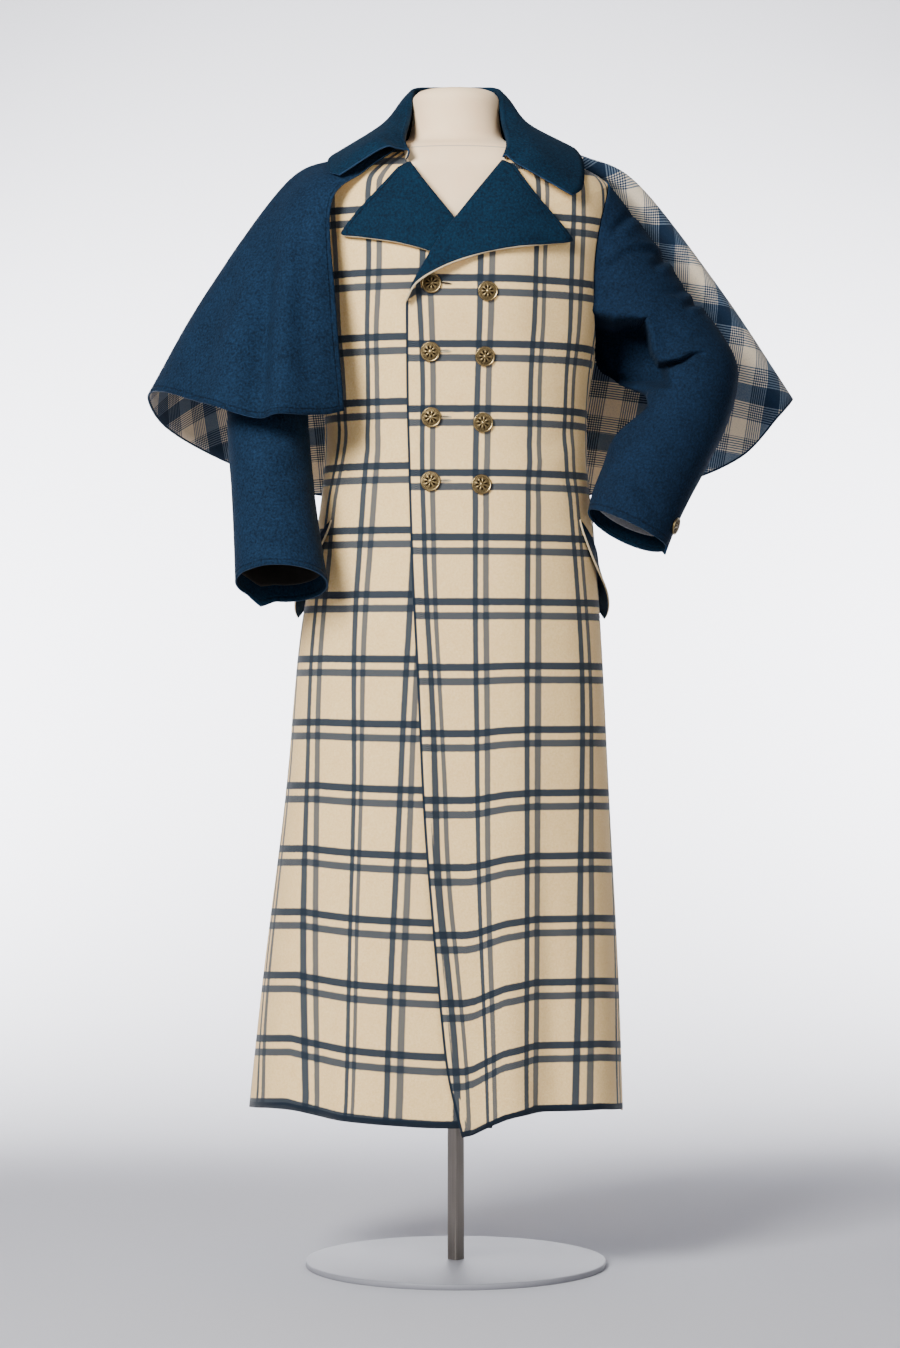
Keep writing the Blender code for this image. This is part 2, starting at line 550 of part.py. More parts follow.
def collar_points():
    # From the seam at the neck up the stand, over the roll and down to the outer edge
    halves = []
    for sign in (-1, 1):
        stations = []
        for row, seat, tilt, packed, droop in zip(COLLAR, COLLAR_SEAT, COLLAR_TILT, COLLAR_PACKED, COLLAR_DROOP):
            neck = table_value(NECKLINE, row[0], 1)
            base = body_plain(sign * row[0], neck) + np.array((0.0, 0.0, seat))
            roll, middle, edge = [np.array((sign * row[c], row[c + 1], row[c + 2])) for c in (1, 4, 7)]
            away = (middle - roll) * np.array((1.0, 1.0, 0.0))
            away = away / np.linalg.norm(away)
            inner = roll - away * COLLAR_ROLL - np.array((0.0, 0.0, COLLAR_ROLL))
            outer = roll + away * COLLAR_ROLL - np.array((0.0, 0.0, COLLAR_ROLL / 2))
            stand = base * 0.5 + inner * 0.5
            over = roll * 0.60 + middle * 0.40
            over[2] = roll[2] - COLLAR_FULL * (roll[2] - middle[2])
            for point in (inner, roll, outer, over, middle, edge):
                point[2] -= tilt * point[0]
            edge[2] += packed if sign > 0 else 0.0
            for point, fall in zip((over, middle, edge), droop):
                point[2] -= fall if sign > 0 else 0.0
            stations.append([base, stand, inner, roll, outer, over, middle, edge])
        halves.append(stations)
    return halves[0] + halves[1][::-1][1:]


def cape_spoke(row, lift, full=CAPE_SHOULDER):
    angle = row[0]
    neck = table_value(NECKLINE, abs(angle), 1) + row[1]
    first = body_plain(angle, neck) + body_normal(angle, neck) * lift
    rest = [np.array(row[2 + 3 * k:5 + 3 * k]) for k in range(3)]
    over = first * 0.5 + rest[0] * 0.5
    over[2] = rest[0][2] + full * (first[2] - rest[0][2])
    return [first, over] + rest


def spread(table, across, down):
    # A finer grid through a coarse one, smooth both ways
    points = []
    for k in range(across + 1):
        spoke = [curve_between([line[j] for line in table], k / across) for j in range(len(table[0]))]
        points.append([curve_between(spoke, j / down) for j in range(down + 1)])
    return points


def flap_points(sign, across=8, down=4):
    first, last, top, end = FLAP
    points = []
    for k in range(across + 1):
        t = k / across
        angle = first + (last - first) * t
        row = []
        for j in range(down + 1):
            s = j / down
            drop = FLAP_DROP * (1.0 - FLAP_CORNERS[t > 0.5] * abs(2 * t - 1) ** 3)
            height = top + (end - top) * t - drop * s
            gape = (FLAP_GAPE[0] + (FLAP_GAPE[1] - FLAP_GAPE[0]) * t) * s * s
            out = FLAP_SEAT + gape + skirt_fold(sign * angle, height)
            normal = body_normal(sign * angle, height)
            row.append(body_plain(sign * (angle + FLAP_SLANT * s), height) + normal * out)
        points.append(row)
    return points


def clear_scene():
    for item in list(bpy.data.objects):
        bpy.data.objects.remove(item, do_unlink=True)


def material(name):
    made = bpy.data.materials.get(name)
    if made:
        return made
    made = bpy.data.materials.new(name)
    made.use_nodes = True
    shader = made.node_tree.nodes["Principled BSDF"]
    shader.inputs["Base Color"].default_value = (*COLOURS[name], 1.0)
    metal = name in ("old brass", "brushed steel")
    shader.inputs["Metallic"].default_value = 1.0 if metal else 0.0
    shader.inputs["Roughness"].default_value = 0.4 if metal else 0.9
    return made


def place(name, mesh, finish):
    item = bpy.data.objects.new(name, mesh)
    PARTS.objects.link(item)
    mesh.materials.append(material(finish))
    mesh.shade_smooth()
    return item


def grid_mesh(name, points):
    # A grid whose vertices are placed by the given rows, wrapped where its ends meet
    rows, columns = len(points), len(points[0])
    work = bmesh.new()
    bmesh.ops.create_grid(work, x_segments=columns - 1, y_segments=rows - 1, size=1.0)
    work.verts.ensure_lookup_table()
    for index, vertex in enumerate(work.verts):
        vertex.co = points[index // columns][index % columns]
    bmesh.ops.remove_doubles(work, verts=work.verts, dist=0.00002)
    mesh = bpy.data.meshes.new(name)
    work.to_mesh(mesh)
    work.free()
    return mesh


def cloth(name, points, finish, wall=WALL, flip=False):
    if flip:
        points = [row[::-1] for row in points]
    item = place(name, grid_mesh(name, points), finish)
    thick = item.modifiers.new("Wall", "SOLIDIFY")
    thick.thickness = wall
    thick.offset = 0.0
    thick.use_even_offset = False
    return item


def solid_rings(name, rings, finish):
    # A closed body through rings of equal count, with a flat cap at each end
    work = bmesh.new()
    lines = [[work.verts.new(point) for point in ring] for ring in rings]
    count = len(rings[0])
    for low, high in zip(lines, lines[1:]):
        for c in range(count):
            work.faces.new((low[c], low[(c + 1) % count], high[(c + 1) % count], high[c]))
    work.faces.new(lines[0][::-1])
    work.faces.new(lines[-1])
    bmesh.ops.recalc_face_normals(work, faces=work.faces)
    mesh = bpy.data.meshes.new(name)
    work.to_mesh(mesh)
    work.free()
    return place(name, mesh, finish)


def make_form():
    rings = []
    for height, ease in FORM_EASE:
        ring = []
        for c in range(FORM_COLUMNS):
            angle = 360.0 * c / FORM_COLUMNS
            ring.append(body_plain(angle, height) - body_normal(angle, height) * ease)
        rings.append(ring)
    for height, half, deep in FORM_NECK + FORM_NECK_DOME:
        ring = []
        for c in range(FORM_COLUMNS):
            turn = 2 * math.pi * c / FORM_COLUMNS
            ring.append(np.array((half * math.sin(turn), -deep * math.cos(turn), height)))
        rings.append(ring)
    underside = min(point[2] for point in rings[0])
    for point in rings[0]:
        point[2] = underside
    solid_rings("form_torso", rings, "jersey")
    return underside


def make_stand(top):
    bpy.ops.mesh.primitive_cylinder_add(vertices=48, radius=BASE_RADIUS, depth=BASE_THICK,
                                        location=(0, 0, BASE_THICK / 2))
    plate = bpy.context.object
    pole_length = top - BASE_THICK - 2 * SEAM
    bpy.ops.mesh.primitive_cube_add(size=1.0, location=(0, 0, BASE_THICK + SEAM + pole_length / 2))
    pole = bpy.context.object
    pieces = ((plate, "stand_base", "painted plate"), (pole, "stand_pole", "brushed steel"))
    for item, name, finish in pieces:
        item.name = name
        item.data.materials.append(material(finish))
        for owner in list(item.users_collection):
            owner.objects.unlink(item)
        PARTS.objects.link(item)
    pole.scale = (POLE_SIDE, POLE_SIDE, pole_length)
    pole.rotation_euler = (0, 0, math.radians(45))


def make_button(name, centre, normal, radius):
    rings = []
    for share, rise in BUTTON_PROFILE:
        ring = []
        for c in range(BUTTON_SIDES):
            turn = 2 * math.pi * c / BUTTON_SIDES
            ring.append((radius * share * math.cos(turn), radius * share * math.sin(turn), radius * rise))
        rings.append(ring)
    item = solid_rings(name, rings, "old brass")
    item.rotation_mode = "QUATERNION"
    item.rotation_quaternion = Vector(normal).to_track_quat("Z", "Y")
    item.location = Vector(centre)


def make_buttons():
    for side in ("right", "left"):
        for k, height in enumerate(BUTTON_ROWS[side]):
            x = BUTTON_COLUMNS[side][k]
            angle = angle_at(x, height)
            normal = body_normal(angle, height)
            out = overlap_step(x, height) + WALL / 2 + BUTTON_SEAT[side][k]
            centre = body_point(angle, height, out)
            make_button("button_%s_%d" % (side, k + 1), centre, normal, BUTTON_RADIUS)


def make_cuff_button(side, sign, rows):
    turn, place_along = CUFF_BUTTON_TURN[side], CUFF_BUTTON_PLACE[side]
    sections = sleeve_sections(sign, rows, 360)
    ring = [curve_between([s[c] for s in sections], place_along) for c in (turn - 4, turn, turn + 4)]
    later = curve_between([s[turn] for s in sections], place_along + CUFF_BUTTON_STEP)
    earlier = curve_between([s[turn] for s in sections], place_along - CUFF_BUTTON_STEP)
    normal = np.cross(ring[2] - ring[0], later - earlier)
    normal = normal / np.linalg.norm(normal)
    middle = curve_between([sum(s) / len(s) for s in sections], place_along)
    if np.dot(normal, ring[1] - middle) < 0:
        normal = -normal
    centre = ring[1] + normal * (WALL / 2 + CUFF_BUTTON_SEAT[side])
    make_button("button_cuff_" + side, centre, normal, CUFF_BUTTON_RADIUS)


def make_cloth():
    cloth("front_left", front_panel_points(1), "cream check")
    cloth("front_right", front_panel_points(-1), "cream check", flip=True)
    cloth("back", back_panel_points(), "cream check")
    cloth("sleeve_left", sleeve_points(1, SLEEVE_LEFT), "blue wool")
    cloth("sleeve_right", sleeve_points(-1, SLEEVE_RIGHT), "blue wool")
    for name, sign, rows in (("lining_left", 1, SLEEVE_LEFT), ("lining_right", -1, SLEEVE_RIGHT)):
        points = sleeve_points(sign, rows, LINING_START, LINING_END, 4, LINING_INSET)
        cloth(name, points, "grey lining", wall=LINING_WALL)
    cloth("collar", spread(collar_points(), 22, 14), "blue wool")
    cloth("cape_right", spread([cape_spoke(row, CAPE_LIFT) for row in CAPE_RIGHT], 22, 10), "blue wool")
    under = [cape_spoke(row, CAPE_LIFT, CAPE_UNDER_FULL) for row in CAPE_LEFT_UNDER]
    roll = [cape_spoke(CAPE_ROLL, CAPE_ROLL_LIFT, CAPE_ROLL_FULL)]
    over = [cape_spoke(row, CAPE_OVER_LIFT) for row in CAPE_LEFT_OVER]
    cloth("cape_left", spread(under + roll + over, 26, 10), "blue wool")
    cloth("flap_left", flap_points(1), "blue wool")
    cloth("flap_right", flap_points(-1), "blue wool")


clear_scene()
PARTS = bpy.data.collections.new("caped_overcoat")
bpy.context.scene.collection.children.link(PARTS)
form_base = make_form()
make_stand(form_base)
make_cloth()
make_buttons()
make_cuff_button("left", 1, SLEEVE_LEFT)
make_cuff_button("right", -1, SLEEVE_RIGHT)
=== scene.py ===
# %% [markdown]
# # A caped overcoat on a dress form
# This file dresses the plain model of a long double-breasted coat. The heavy wool is woven with two
# faces: a cream one with a blue window plaid, and a plain blue one. The fronts show the plaid, and the
# lapels, where the fronts turn back, show the blue face. The collar, sleeves and cape show the blue face.
# The coat faces -Y, Z is up, and the wearer's left is at +X. Everything is in metres, except the longer
# tables of points, which say that they are in millimetres.

# %% Load the plain model
import bpy
import bmesh
import math
import numpy as np
from mathutils import Matrix, Vector


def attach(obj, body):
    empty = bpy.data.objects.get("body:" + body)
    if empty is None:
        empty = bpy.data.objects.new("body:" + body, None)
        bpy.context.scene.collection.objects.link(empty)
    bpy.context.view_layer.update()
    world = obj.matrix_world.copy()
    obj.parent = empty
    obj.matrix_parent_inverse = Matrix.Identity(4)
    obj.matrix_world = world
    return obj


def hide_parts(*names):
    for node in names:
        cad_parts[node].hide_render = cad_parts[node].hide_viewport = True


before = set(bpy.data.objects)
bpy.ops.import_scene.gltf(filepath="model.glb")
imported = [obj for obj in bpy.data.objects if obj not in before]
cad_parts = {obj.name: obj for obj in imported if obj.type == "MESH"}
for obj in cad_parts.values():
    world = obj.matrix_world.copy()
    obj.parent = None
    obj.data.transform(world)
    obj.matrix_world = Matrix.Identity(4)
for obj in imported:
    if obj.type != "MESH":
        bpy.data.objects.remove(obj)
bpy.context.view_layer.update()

# %% [markdown]
# ## Sizes of the coat
# The coat's body is a stack of rings, squarer than ellipses. Each ring has a height, a centre, a half
# width, and a depth in front and behind. A cubic through the rows gives every height between them.

# %% Rings of the body and its skirt folds
SIDES = ((1, "left"), (-1, "right"))
WALL = 0.0024
SEAM_EASE = 0.00025     # how far each side seam stands off the seam's line
ROUND = 2.3             # 2 would make the rings ellipses
ASIDE, ABOVE = 0.6, 0.003             # degrees and metres between the points that give a normal
FOLDS_FULL, FOLDS_GROW = 0.2, 1.3     # height where the skirt's folds are full, and how they grow to it
BODY = (
    (0.19, -0.027, 0.249, 0.2, 0.205), (0.38, -0.02, 0.236, 0.184, 0.186),
    (0.633, -0.011, 0.214, 0.163, 0.16), (0.833, -0.007, 0.2, 0.148, 0.143),
    (1.0, 0.0, 0.181, 0.133, 0.122), (1.087, 0.0, 0.173, 0.127, 0.113),
    (1.173, 0.0, 0.177, 0.13, 0.115), (1.239, 0.0, 0.187, 0.135, 0.121),
    (1.331, 0.0, 0.197, 0.134, 0.127), (1.395, 0.0, 0.205, 0.121, 0.119),
    (1.425, 0.0, 0.206, 0.11, 0.11), (1.442, 0.0, 0.199, 0.101, 0.103),
    (1.456, 0.0, 0.175, 0.093, 0.096), (1.47, 0.0, 0.141, 0.084, 0.088),
    (1.49, 0.0, 0.098, 0.072, 0.076), (1.505, 0.0, 0.073, 0.063, 0.067),
    (1.53, 0.0, 0.064, 0.059, 0.06),
)
# Angle round from the front centre, half angle, depth, height where the fold starts
SKIRT_FOLDS = (
    (-62.0, 16.0, 0.006, 0.9), (-38.0, 10.0, -0.01, 0.75), (-23.0, 9.0, 0.007, 0.8),
    (21.0, 8.0, 0.006, 0.7), (34.0, 9.0, -0.012, 0.85), (58.0, 13.0, 0.008, 0.9),
    (112.0, 10.0, 0.01, 0.9), (135.0, 9.0, -0.012, 0.95), (158.0, 9.0, 0.012, 1.0),
    (180.0, 7.0, -0.014, 1.0), (202.0, 9.0, 0.012, 1.0), (225.0, 9.0, -0.012, 0.95),
    (248.0, 10.0, 0.01, 0.9),
)


def table_value(pairs, at):
    return np.interp(at, *zip(*pairs))


def cubic(a, slope_a, b, slope_b, t):
    return (a * (2 * t**3 - 3 * t**2 + 1) + slope_a * (t**3 - 2 * t**2 + t)
            + b * (-2 * t**3 + 3 * t**2) + slope_b * (t**3 - t**2))


def ramp(value, start, end):
    # From 0 at the start to 1 at the end, and level beyond them
    return np.clip((value - start) / (end - start), 0, 1)


def soft(share):
    return share * share * (3 - 2 * share)


def hump(away, width):
    return np.exp(-((away / width) ** 2))


def step_lengths(points, axis=0):
    return np.linalg.norm(np.diff(points, axis=axis), axis=-1)


def run_up(steps):
    # Distance from the start to each point, from the steps between them
    return np.concatenate([[0], np.cumsum(steps)])


def smooth_value(rows, at, column):
    table = np.array(rows, float)
    keys, values = table[:, 0], table[:, column]
    at = np.clip(np.asarray(at, float), keys[0], keys[-1])
    k = np.clip(np.searchsorted(keys, at) - 1, 0, len(keys) - 2)
    step = keys[k + 1] - keys[k]
    low, high = np.maximum(k - 1, 0), np.minimum(k + 2, len(keys) - 1)
    slope_a = (values[k + 1] - values[low]) / (keys[k + 1] - keys[low]) * step
    slope_b = (values[high] - values[k]) / (keys[high] - keys[k]) * step
    return cubic(values[k], slope_a, values[k + 1], slope_b, (at - keys[k]) / step)


def body_plain(angle, height):
    centre, half, front, behind = [smooth_value(BODY, height, column) for column in (1, 2, 3, 4)]
    turn = np.radians(angle)
    side, ahead = np.sin(turn), np.cos(turn)
    depth = np.where(ahead > 0, front, behind)
    x = centre + half * np.sign(side) * np.abs(side) ** (2 / ROUND)
    y = -depth * np.sign(ahead) * np.abs(ahead) ** (2 / ROUND)
    return np.stack([x, y, x * 0 + height], axis=-1)


def unit(vectors):
    return vectors / np.maximum(np.linalg.norm(vectors, axis=-1, keepdims=True), 1e-12)


def body_normal(angle, height):
    across = body_plain(angle + ASIDE, height) - body_plain(angle - ASIDE, height)
    up = body_plain(angle, height + ABOVE) - body_plain(angle, height - ABOVE)
    return unit(np.cross(across, up))


def skirt_fold(angle, height):
    total = np.zeros(np.broadcast(angle, height).shape)
    for centre, half, depth, start in SKIRT_FOLDS:
        away = (angle - centre + 180.0) % 360.0 - 180.0
        grow = np.clip((start - height) / (start - FOLDS_FULL), 0, None) ** FOLDS_GROW
        total = total + depth * grow * hump(away, half)
    return total


def body_point(angle, height, out=0.0):
    out = np.asarray(out + skirt_fold(angle, height))[..., None]
    return body_plain(angle, height) + body_normal(angle, height) * out


def angle_at(x, height):
    share = (x - smooth_value(BODY, height, 1)) / smooth_value(BODY, height, 2)
    share = np.clip(share, -0.999, 0.999)
    return np.degrees(np.arcsin(np.sign(share) * np.abs(share) ** (ROUND / 2)))


hip_girth = step_lengths(body_plain(np.linspace(0, 360, 361), 0.85)).sum()
print("girth of the coat at the hip", round(hip_girth, 3), "m")

# %% [markdown]
# ## From a few points to smooth cloth
# Each piece starts as a coarse grid of points with its plaid coordinates beside them. A cubic through
# each line of the grid fills in the points between. Its slopes allow for uneven spacing, so the tight
# columns at a fold stay tight. The fine grid then gets a front face, a back face and a rim, which is
# how a heavy cloth looks at its cut edge.

# %% Fill in a grid and give it a wall
def fill_line(points, counts):
    # Points run along axis 0, and counts says how many parts each interval gets
    gaps = step_lengths(points[..., :3])
    gaps = np.maximum(gaps.reshape(len(gaps), -1).mean(axis=1), 1e-6)
    shape = (-1,) + (1,) * (points.ndim - 1)
    slopes = np.diff(points, axis=0) / gaps.reshape(shape)
    tangents = np.empty_like(points)
    tangents[0], tangents[-1] = slopes[0], slopes[-1]
    before, after = gaps[:-1].reshape(shape), gaps[1:].reshape(shape)
    tangents[1:-1] = (slopes[1:] * before + slopes[:-1] * after) / (before + after)
    lines = []
    for k, count in enumerate(counts):
        t = (np.arange(count) / count).reshape(shape)
        lines.append(cubic(points[k][None], tangents[k][None] * gaps[k],
                           points[k + 1][None], tangents[k + 1][None] * gaps[k], t))
    return np.concatenate(lines + [points[-1][None]])


def fill_grid(points, down, across):
    points = np.asarray(points, float)
    down = [down] * (points.shape[0] - 1) if isinstance(down, int) else down
    across = [across] * (points.shape[1] - 1) if isinstance(across, int) else across
    wide = fill_line(np.swapaxes(fill_line(points, down), 0, 1), across)
    return np.swapaxes(wide, 0, 1)


def grid_normals(grid, outside=1, ring=False):
    if ring:
        around = np.roll(grid[:, :-1], -1, axis=1) - np.roll(grid[:, :-1], 1, axis=1)
        around = np.concatenate([around, around[:, :1]], axis=1)
    else:
        around = np.gradient(grid, axis=1)
    return unit(np.cross(around, np.gradient(grid, axis=0))) * outside


def with_plaid(place, *numbers):
    # Adds the two plaid coordinates and the distances from the front edge and the hem
    numbers = [number + np.zeros(place.shape[:2]) for number in numbers]
    return np.concatenate([place, np.stack(numbers, axis=-1)], axis=-1)


def new_mesh(name, points, faces, edges=()):
    mesh = bpy.data.meshes.new(name)
    mesh.from_pydata(np.asarray(points).tolist(), edges, faces)
    return mesh


def into_scene(name, data):
    made = bpy.data.objects.new(name, data)
    bpy.context.scene.collection.objects.link(made)
    return made


def cloth_shell(name, grid, outside, finishes, wall=WALL, ring=False):
    rows, columns = grid.shape[:2]
    count = rows * columns
    place = grid[..., :3]
    out = grid_normals(place, outside, ring) * (wall / 2)
    index = np.arange(count).reshape(rows, columns)
    if ring:
        index[:, -1] = index[:, 0]
    quads = np.stack([index[:-1, :-1], index[:-1, 1:], index[1:, 1:], index[1:, :-1]], axis=-1)
    quads = quads.reshape(-1, 4)
    if outside < 0:
        quads = quads[:, ::-1]
    below = quads[:, ::-1] + count
    loops = [index[0], index[-1][::-1]]
    if not ring:
        sides = (index[0], index[1:, -1], index[-1, -2::-1], index[-2:0:-1, 0], index[:1, 0])
        loops = [np.concatenate(sides)]
    rim = []
    for loop in loops:
        a, b = loop[:-1], loop[1:]
        side = np.stack([a, a + count, b + count, b], axis=-1)
        rim.append(side if outside > 0 else side[:, ::-1])
    faces = np.concatenate([quads, below] + rim)
    kinds = np.repeat([0, 1, 2], [len(quads), len(below), sum(map(len, rim))])
    mesh = new_mesh(name, np.concatenate([place + out, place - out]).reshape(-1, 3), faces.tolist())
    mesh.polygons.foreach_set("material_index", kinds)
    corner = np.empty(len(mesh.loops), int)
    mesh.loops.foreach_get("vertex_index", corner)
    spread = np.concatenate([grid.reshape(count, -1)] * 2)
    for layer, first in (("Plaid", 3), ("Edges", 5)):
        uv = mesh.uv_layers.new(name=layer)
        uv.data.foreach_set("uv", spread[corner][:, first:first + 2].astype(np.float32).ravel())
    return finish_piece(name, mesh, finishes)


def finish_piece(name, mesh, finishes, solid=False):
    work = bmesh.new()
    work.from_mesh(mesh)
    loose = [vertex for vertex in work.verts if not vertex.link_faces]
    bmesh.ops.delete(work, geom=loose, context="VERTS")
    if solid:
        bmesh.ops.recalc_face_normals(work, faces=work.faces)
    work.to_mesh(mesh)
    work.free()
    for finish in finishes:
        mesh.materials.append(finish)
    mesh.shade_smooth()
    return into_scene(name, mesh)


def dress(piece, nodes):
    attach(piece, "root")
    if nodes:
        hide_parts(*nodes)
    print(piece.name, len(piece.data.polygons), "faces")
    return piece


print("each wall is", WALL * 1000, "mm of cloth")

# %% [markdown]
# ## Colours and a helper for shader nodes
# Colours are picked as sRGB hex values and turned to linear numbers, which is what the shader adds up.
# One small function adds a node, sets it and links it. An input takes a number or another node's
# socket, and a kind in capitals is a sum, such as ADD. Noise gives grain, and a blend mixes two colours.

# %% Colour and node helpers
def linear(hex_value):
    shades = [int(hex_value[k:k + 2], 16) / 255 for k in (0, 2, 4)]
    return tuple(s / 12.92 if s <= 0.04045 else ((s + 0.055) / 1.055) ** 2.4 for s in shades) + (1.0,)


def set_inputs(tree, node, inputs):
    for key, value in inputs.items():
        if isinstance(value, bpy.types.NodeSocket):
            tree.links.new(value, node.inputs[key])
        else:
            node.inputs[key].default_value = value


def add(tree, kind, *inputs, out=0, **settings):
    made = tree.nodes.new("ShaderNodeMath" if kind.isupper() else kind)
    if kind.isupper():
        made.operation = kind
    for key, value in settings.items():
        setattr(made, key, value)
    by_name = inputs and isinstance(inputs[0], dict)
    set_inputs(tree, made, inputs[0] if by_name else dict(enumerate(inputs)))
    return made.outputs if out is None else made.outputs[out]


def noise(tree, where, scale, detail, **more):
    return add(tree, "ShaderNodeTexNoise", {"Vector": where, "Scale": scale, "Detail": detail, **more})


def blend(tree, share, *colours):
    first, second = [linear(colour) if isinstance(colour, str) else colour for colour in colours]
    return add(tree, "ShaderNodeMix", {0: share, 6: first, 7: second}, out=2, data_type="RGBA")


def relief(tree, height, strength, distance):
    return add(tree, "ShaderNodeBump", {"Height": height, "Strength": strength, "Distance": distance})


def layer_parts(tree, layer):
    split = add(tree, "ShaderNodeSeparateXYZ", add(tree, "ShaderNodeUVMap", uv_map=layer), out=None)
    return split["X"], split["Y"]


def start_finish(name, **sockets):
    made = bpy.data.materials.new(name)
    made.use_nodes = True
    tree = made.node_tree
    shader = tree.nodes["Principled BSDF"]
    set_inputs(tree, shader, {key.replace("_", " "): value for key, value in sockets.items()})
    return made, tree, shader, add(tree, "ShaderNodeTexCoord", out="Object")


print("an sRGB grey of one half is", round(linear("808080")[0], 3), "in linear numbers")

# %% [markdown]
# ## Blue face of the wool
# Melton is a woven wool that is fulled and brushed until its threads are hidden under a short nap. It
# has no shine, only a faint glow where the nap is seen along its length, which is what sheen gives.
# The nap is drawn as two noises: clouds a few centimetres wide, and tufts of about 3 mm, which is
# coarser than the real fibres, as those would be lost between the pixels. A faint pressed line runs
# along the edges, where the seam allowance lies inside. It is a shallow groove, and its colour is darkened
# as painted shade in that groove.

# %% Brushed melton, navy
PRESSED_LINE, PRESSED_HALF = 0.007, 0.0016    # the line's distance from an edge, and its half width


def navy_melton(name, shade, light):
    made, tree, shader, where = start_finish(
        name, Roughness=0.92, Specular_IOR_Level=0.1, Sheen_Weight=0.03, Sheen_Roughness=0.45,
        Sheen_Tint=linear("5E86A8"))
    nap = noise(tree, where, 340.0, 3.0, Roughness=0.65)
    share = add(tree, "MULTIPLY_ADD", noise(tree, where, 28.0, 3.0), 0.5, -0.95)
    share = add(tree, "MULTIPLY_ADD", nap, 2.4, share, use_clamp=True)
    near = add(tree, "MINIMUM", *layer_parts(tree, "Edges"))
    near = add(tree, "ABSOLUTE", add(tree, "SUBTRACT", near, PRESSED_LINE))
    line = add(tree, "ShaderNodeMapRange", near, 0.0, PRESSED_HALF, 1.0, 0.0)
    # Darker colour along the pressed line: painted shade in its groove
    share = add(tree, "MULTIPLY_ADD", line, -0.35, share, use_clamp=True)
    height = add(tree, "MULTIPLY_ADD", line, -1.2, nap)
    set_inputs(tree, shader, {"Base Color": blend(tree, share, shade, light),
                              "Normal": relief(tree, height, 0.7, 0.0009)})
    return made


BLUE = navy_melton("brushed navy melton", "05111E", "132940")
BLUE_LAPEL = navy_melton("brushed teal-navy melton", "04121F", "0D283C")
# The left sleeve gets a darker, a little less green copy of the blue: painted shade for a sleeve that faces
# away from the light
BLUE_SHADED = navy_melton("brushed navy melton, darkened for painted shade", "05111E", "102339")
print("blue wool made")

# %% [markdown]
# ## Plaid face of the wool
# Pairs of blue stripes cross a cream ground. In each pair one stripe is nearly all blue. The other has
# more cream between its threads, so it looks slate. Where an upright stripe crosses a level one, both
# sets of threads are blue and the square turns navy. The coordinates count pairs: a whole number is the
# middle of a pair. One repeat is 71 mm across and 84 mm down, and a stripe is about 8 mm wide.
# The real twill line is finer than a pixel, so it is drawn every 2.6 mm, as coarse as it needs to show.

# %% Twill plaid, cream and blue
REPEAT_ACROSS, REPEAT_DOWN = 0.071, 0.0838
STRIPE_OFF, STRIPE_HALF, STRIPE_BLUR = 0.108, 0.057, 0.007     # shares of a repeat
# How much blue each set of threads brings: upright dark and pale stripe, level dark and pale stripe
STRIPE_BLUE = ((0.9, 0.76), (0.985, 0.86))
# Dark woven borders, at the front edge and at the hem: how deep, and how much cream they keep
BORDERS = ((0.0038, 0.04), (0.008, 0.06))


def twill_plaid(name):
    made, tree, shader, where = start_finish(
        name, Roughness=0.93, Specular_IOR_Level=0.2, Sheen_Weight=0.12, Sheen_Roughness=0.5)
    fibre = noise(tree, where, 430.0, 3.0, Roughness=0.7)
    drift = add(tree, "MULTIPLY_ADD", noise(tree, where, 260.0, 1.0), 0.016, -0.008)
    slant = add(tree, "ShaderNodeVectorMath", add(tree, "ShaderNodeUVMap", uv_map="Plaid"), (27.0, 32.0, 0.0),
                out="Value", operation="DOT_PRODUCT")
    twill = add(tree, "SINE", add(tree, "MULTIPLY", slant, 2 * math.pi))
    hatch = add(tree, "MULTIPLY_ADD", twill, 0.17, 0.92)
    bare = 1.0
    for place, strengths in zip(layer_parts(tree, "Plaid"), STRIPE_BLUE):
        place = add(tree, "ADD", place, drift)
        for centre, strength in zip((-STRIPE_OFF, STRIPE_OFF), strengths):
            part = add(tree, "FLOORED_MODULO", add(tree, "ADD", place, 0.5 - centre), 1.0)
            away = add(tree, "ABSOLUTE", add(tree, "SUBTRACT", part, 0.5))
            inside = add(tree, "ShaderNodeMapRange", away, STRIPE_HALF + STRIPE_BLUR,
                         STRIPE_HALF - STRIPE_BLUR, 0.0, strength)
            left = add(tree, "SUBTRACT", 1.0, add(tree, "MULTIPLY", inside, hatch))
            bare = add(tree, "MULTIPLY", left, bare)
    for place, (deep, keep) in zip(layer_parts(tree, "Edges"), BORDERS):
        band = add(tree, "ShaderNodeMapRange", place, deep - 0.0005, deep + 0.0005, keep, 1.0)
        bare = add(tree, "MULTIPLY", bare, band)
    cream = blend(tree, noise(tree, where, 45.0, 3.0), "EEB460", "FCCE7E")
    cream = blend(tree, 0.6, cream, blend(tree, fibre, "BA9050", "FFEFC2"))
    # A stripe with some cream in it looks slate blue, not brown, so the blue lightens before the cream
    lighter = add(tree, "ShaderNodeMapRange", bare, 0.0, 0.34, 0.0, 1.0)
    shown = add(tree, "ShaderNodeMapRange", bare, 0.3, 1.0, 0.0, 1.0)
    height = add(tree, "MULTIPLY_ADD", twill, 0.25, fibre)
    thread = blend(tree, lighter, "091826", "4D5256")
    set_inputs(tree, shader, {"Base Color": blend(tree, shown, thread, cream),
                              "Normal": relief(tree, height, 0.3, 0.0005)})
    return made


PLAID = twill_plaid("twill wool, cream with blue window plaid")
print("plaid has stripes of", round(2 * STRIPE_HALF * REPEAT_ACROSS * 1000, 1), "mm")

# %% [markdown]
# ## Checked face of the cape
# The cape's inside is woven in blocks of about 23 mm: cream, fine lines, navy, fine lines. Each set
# of threads has that order, and the cloth mixes the two half and half, so only blocks where both agree
# look plain. The fine lines are single threads about 3 mm apart.

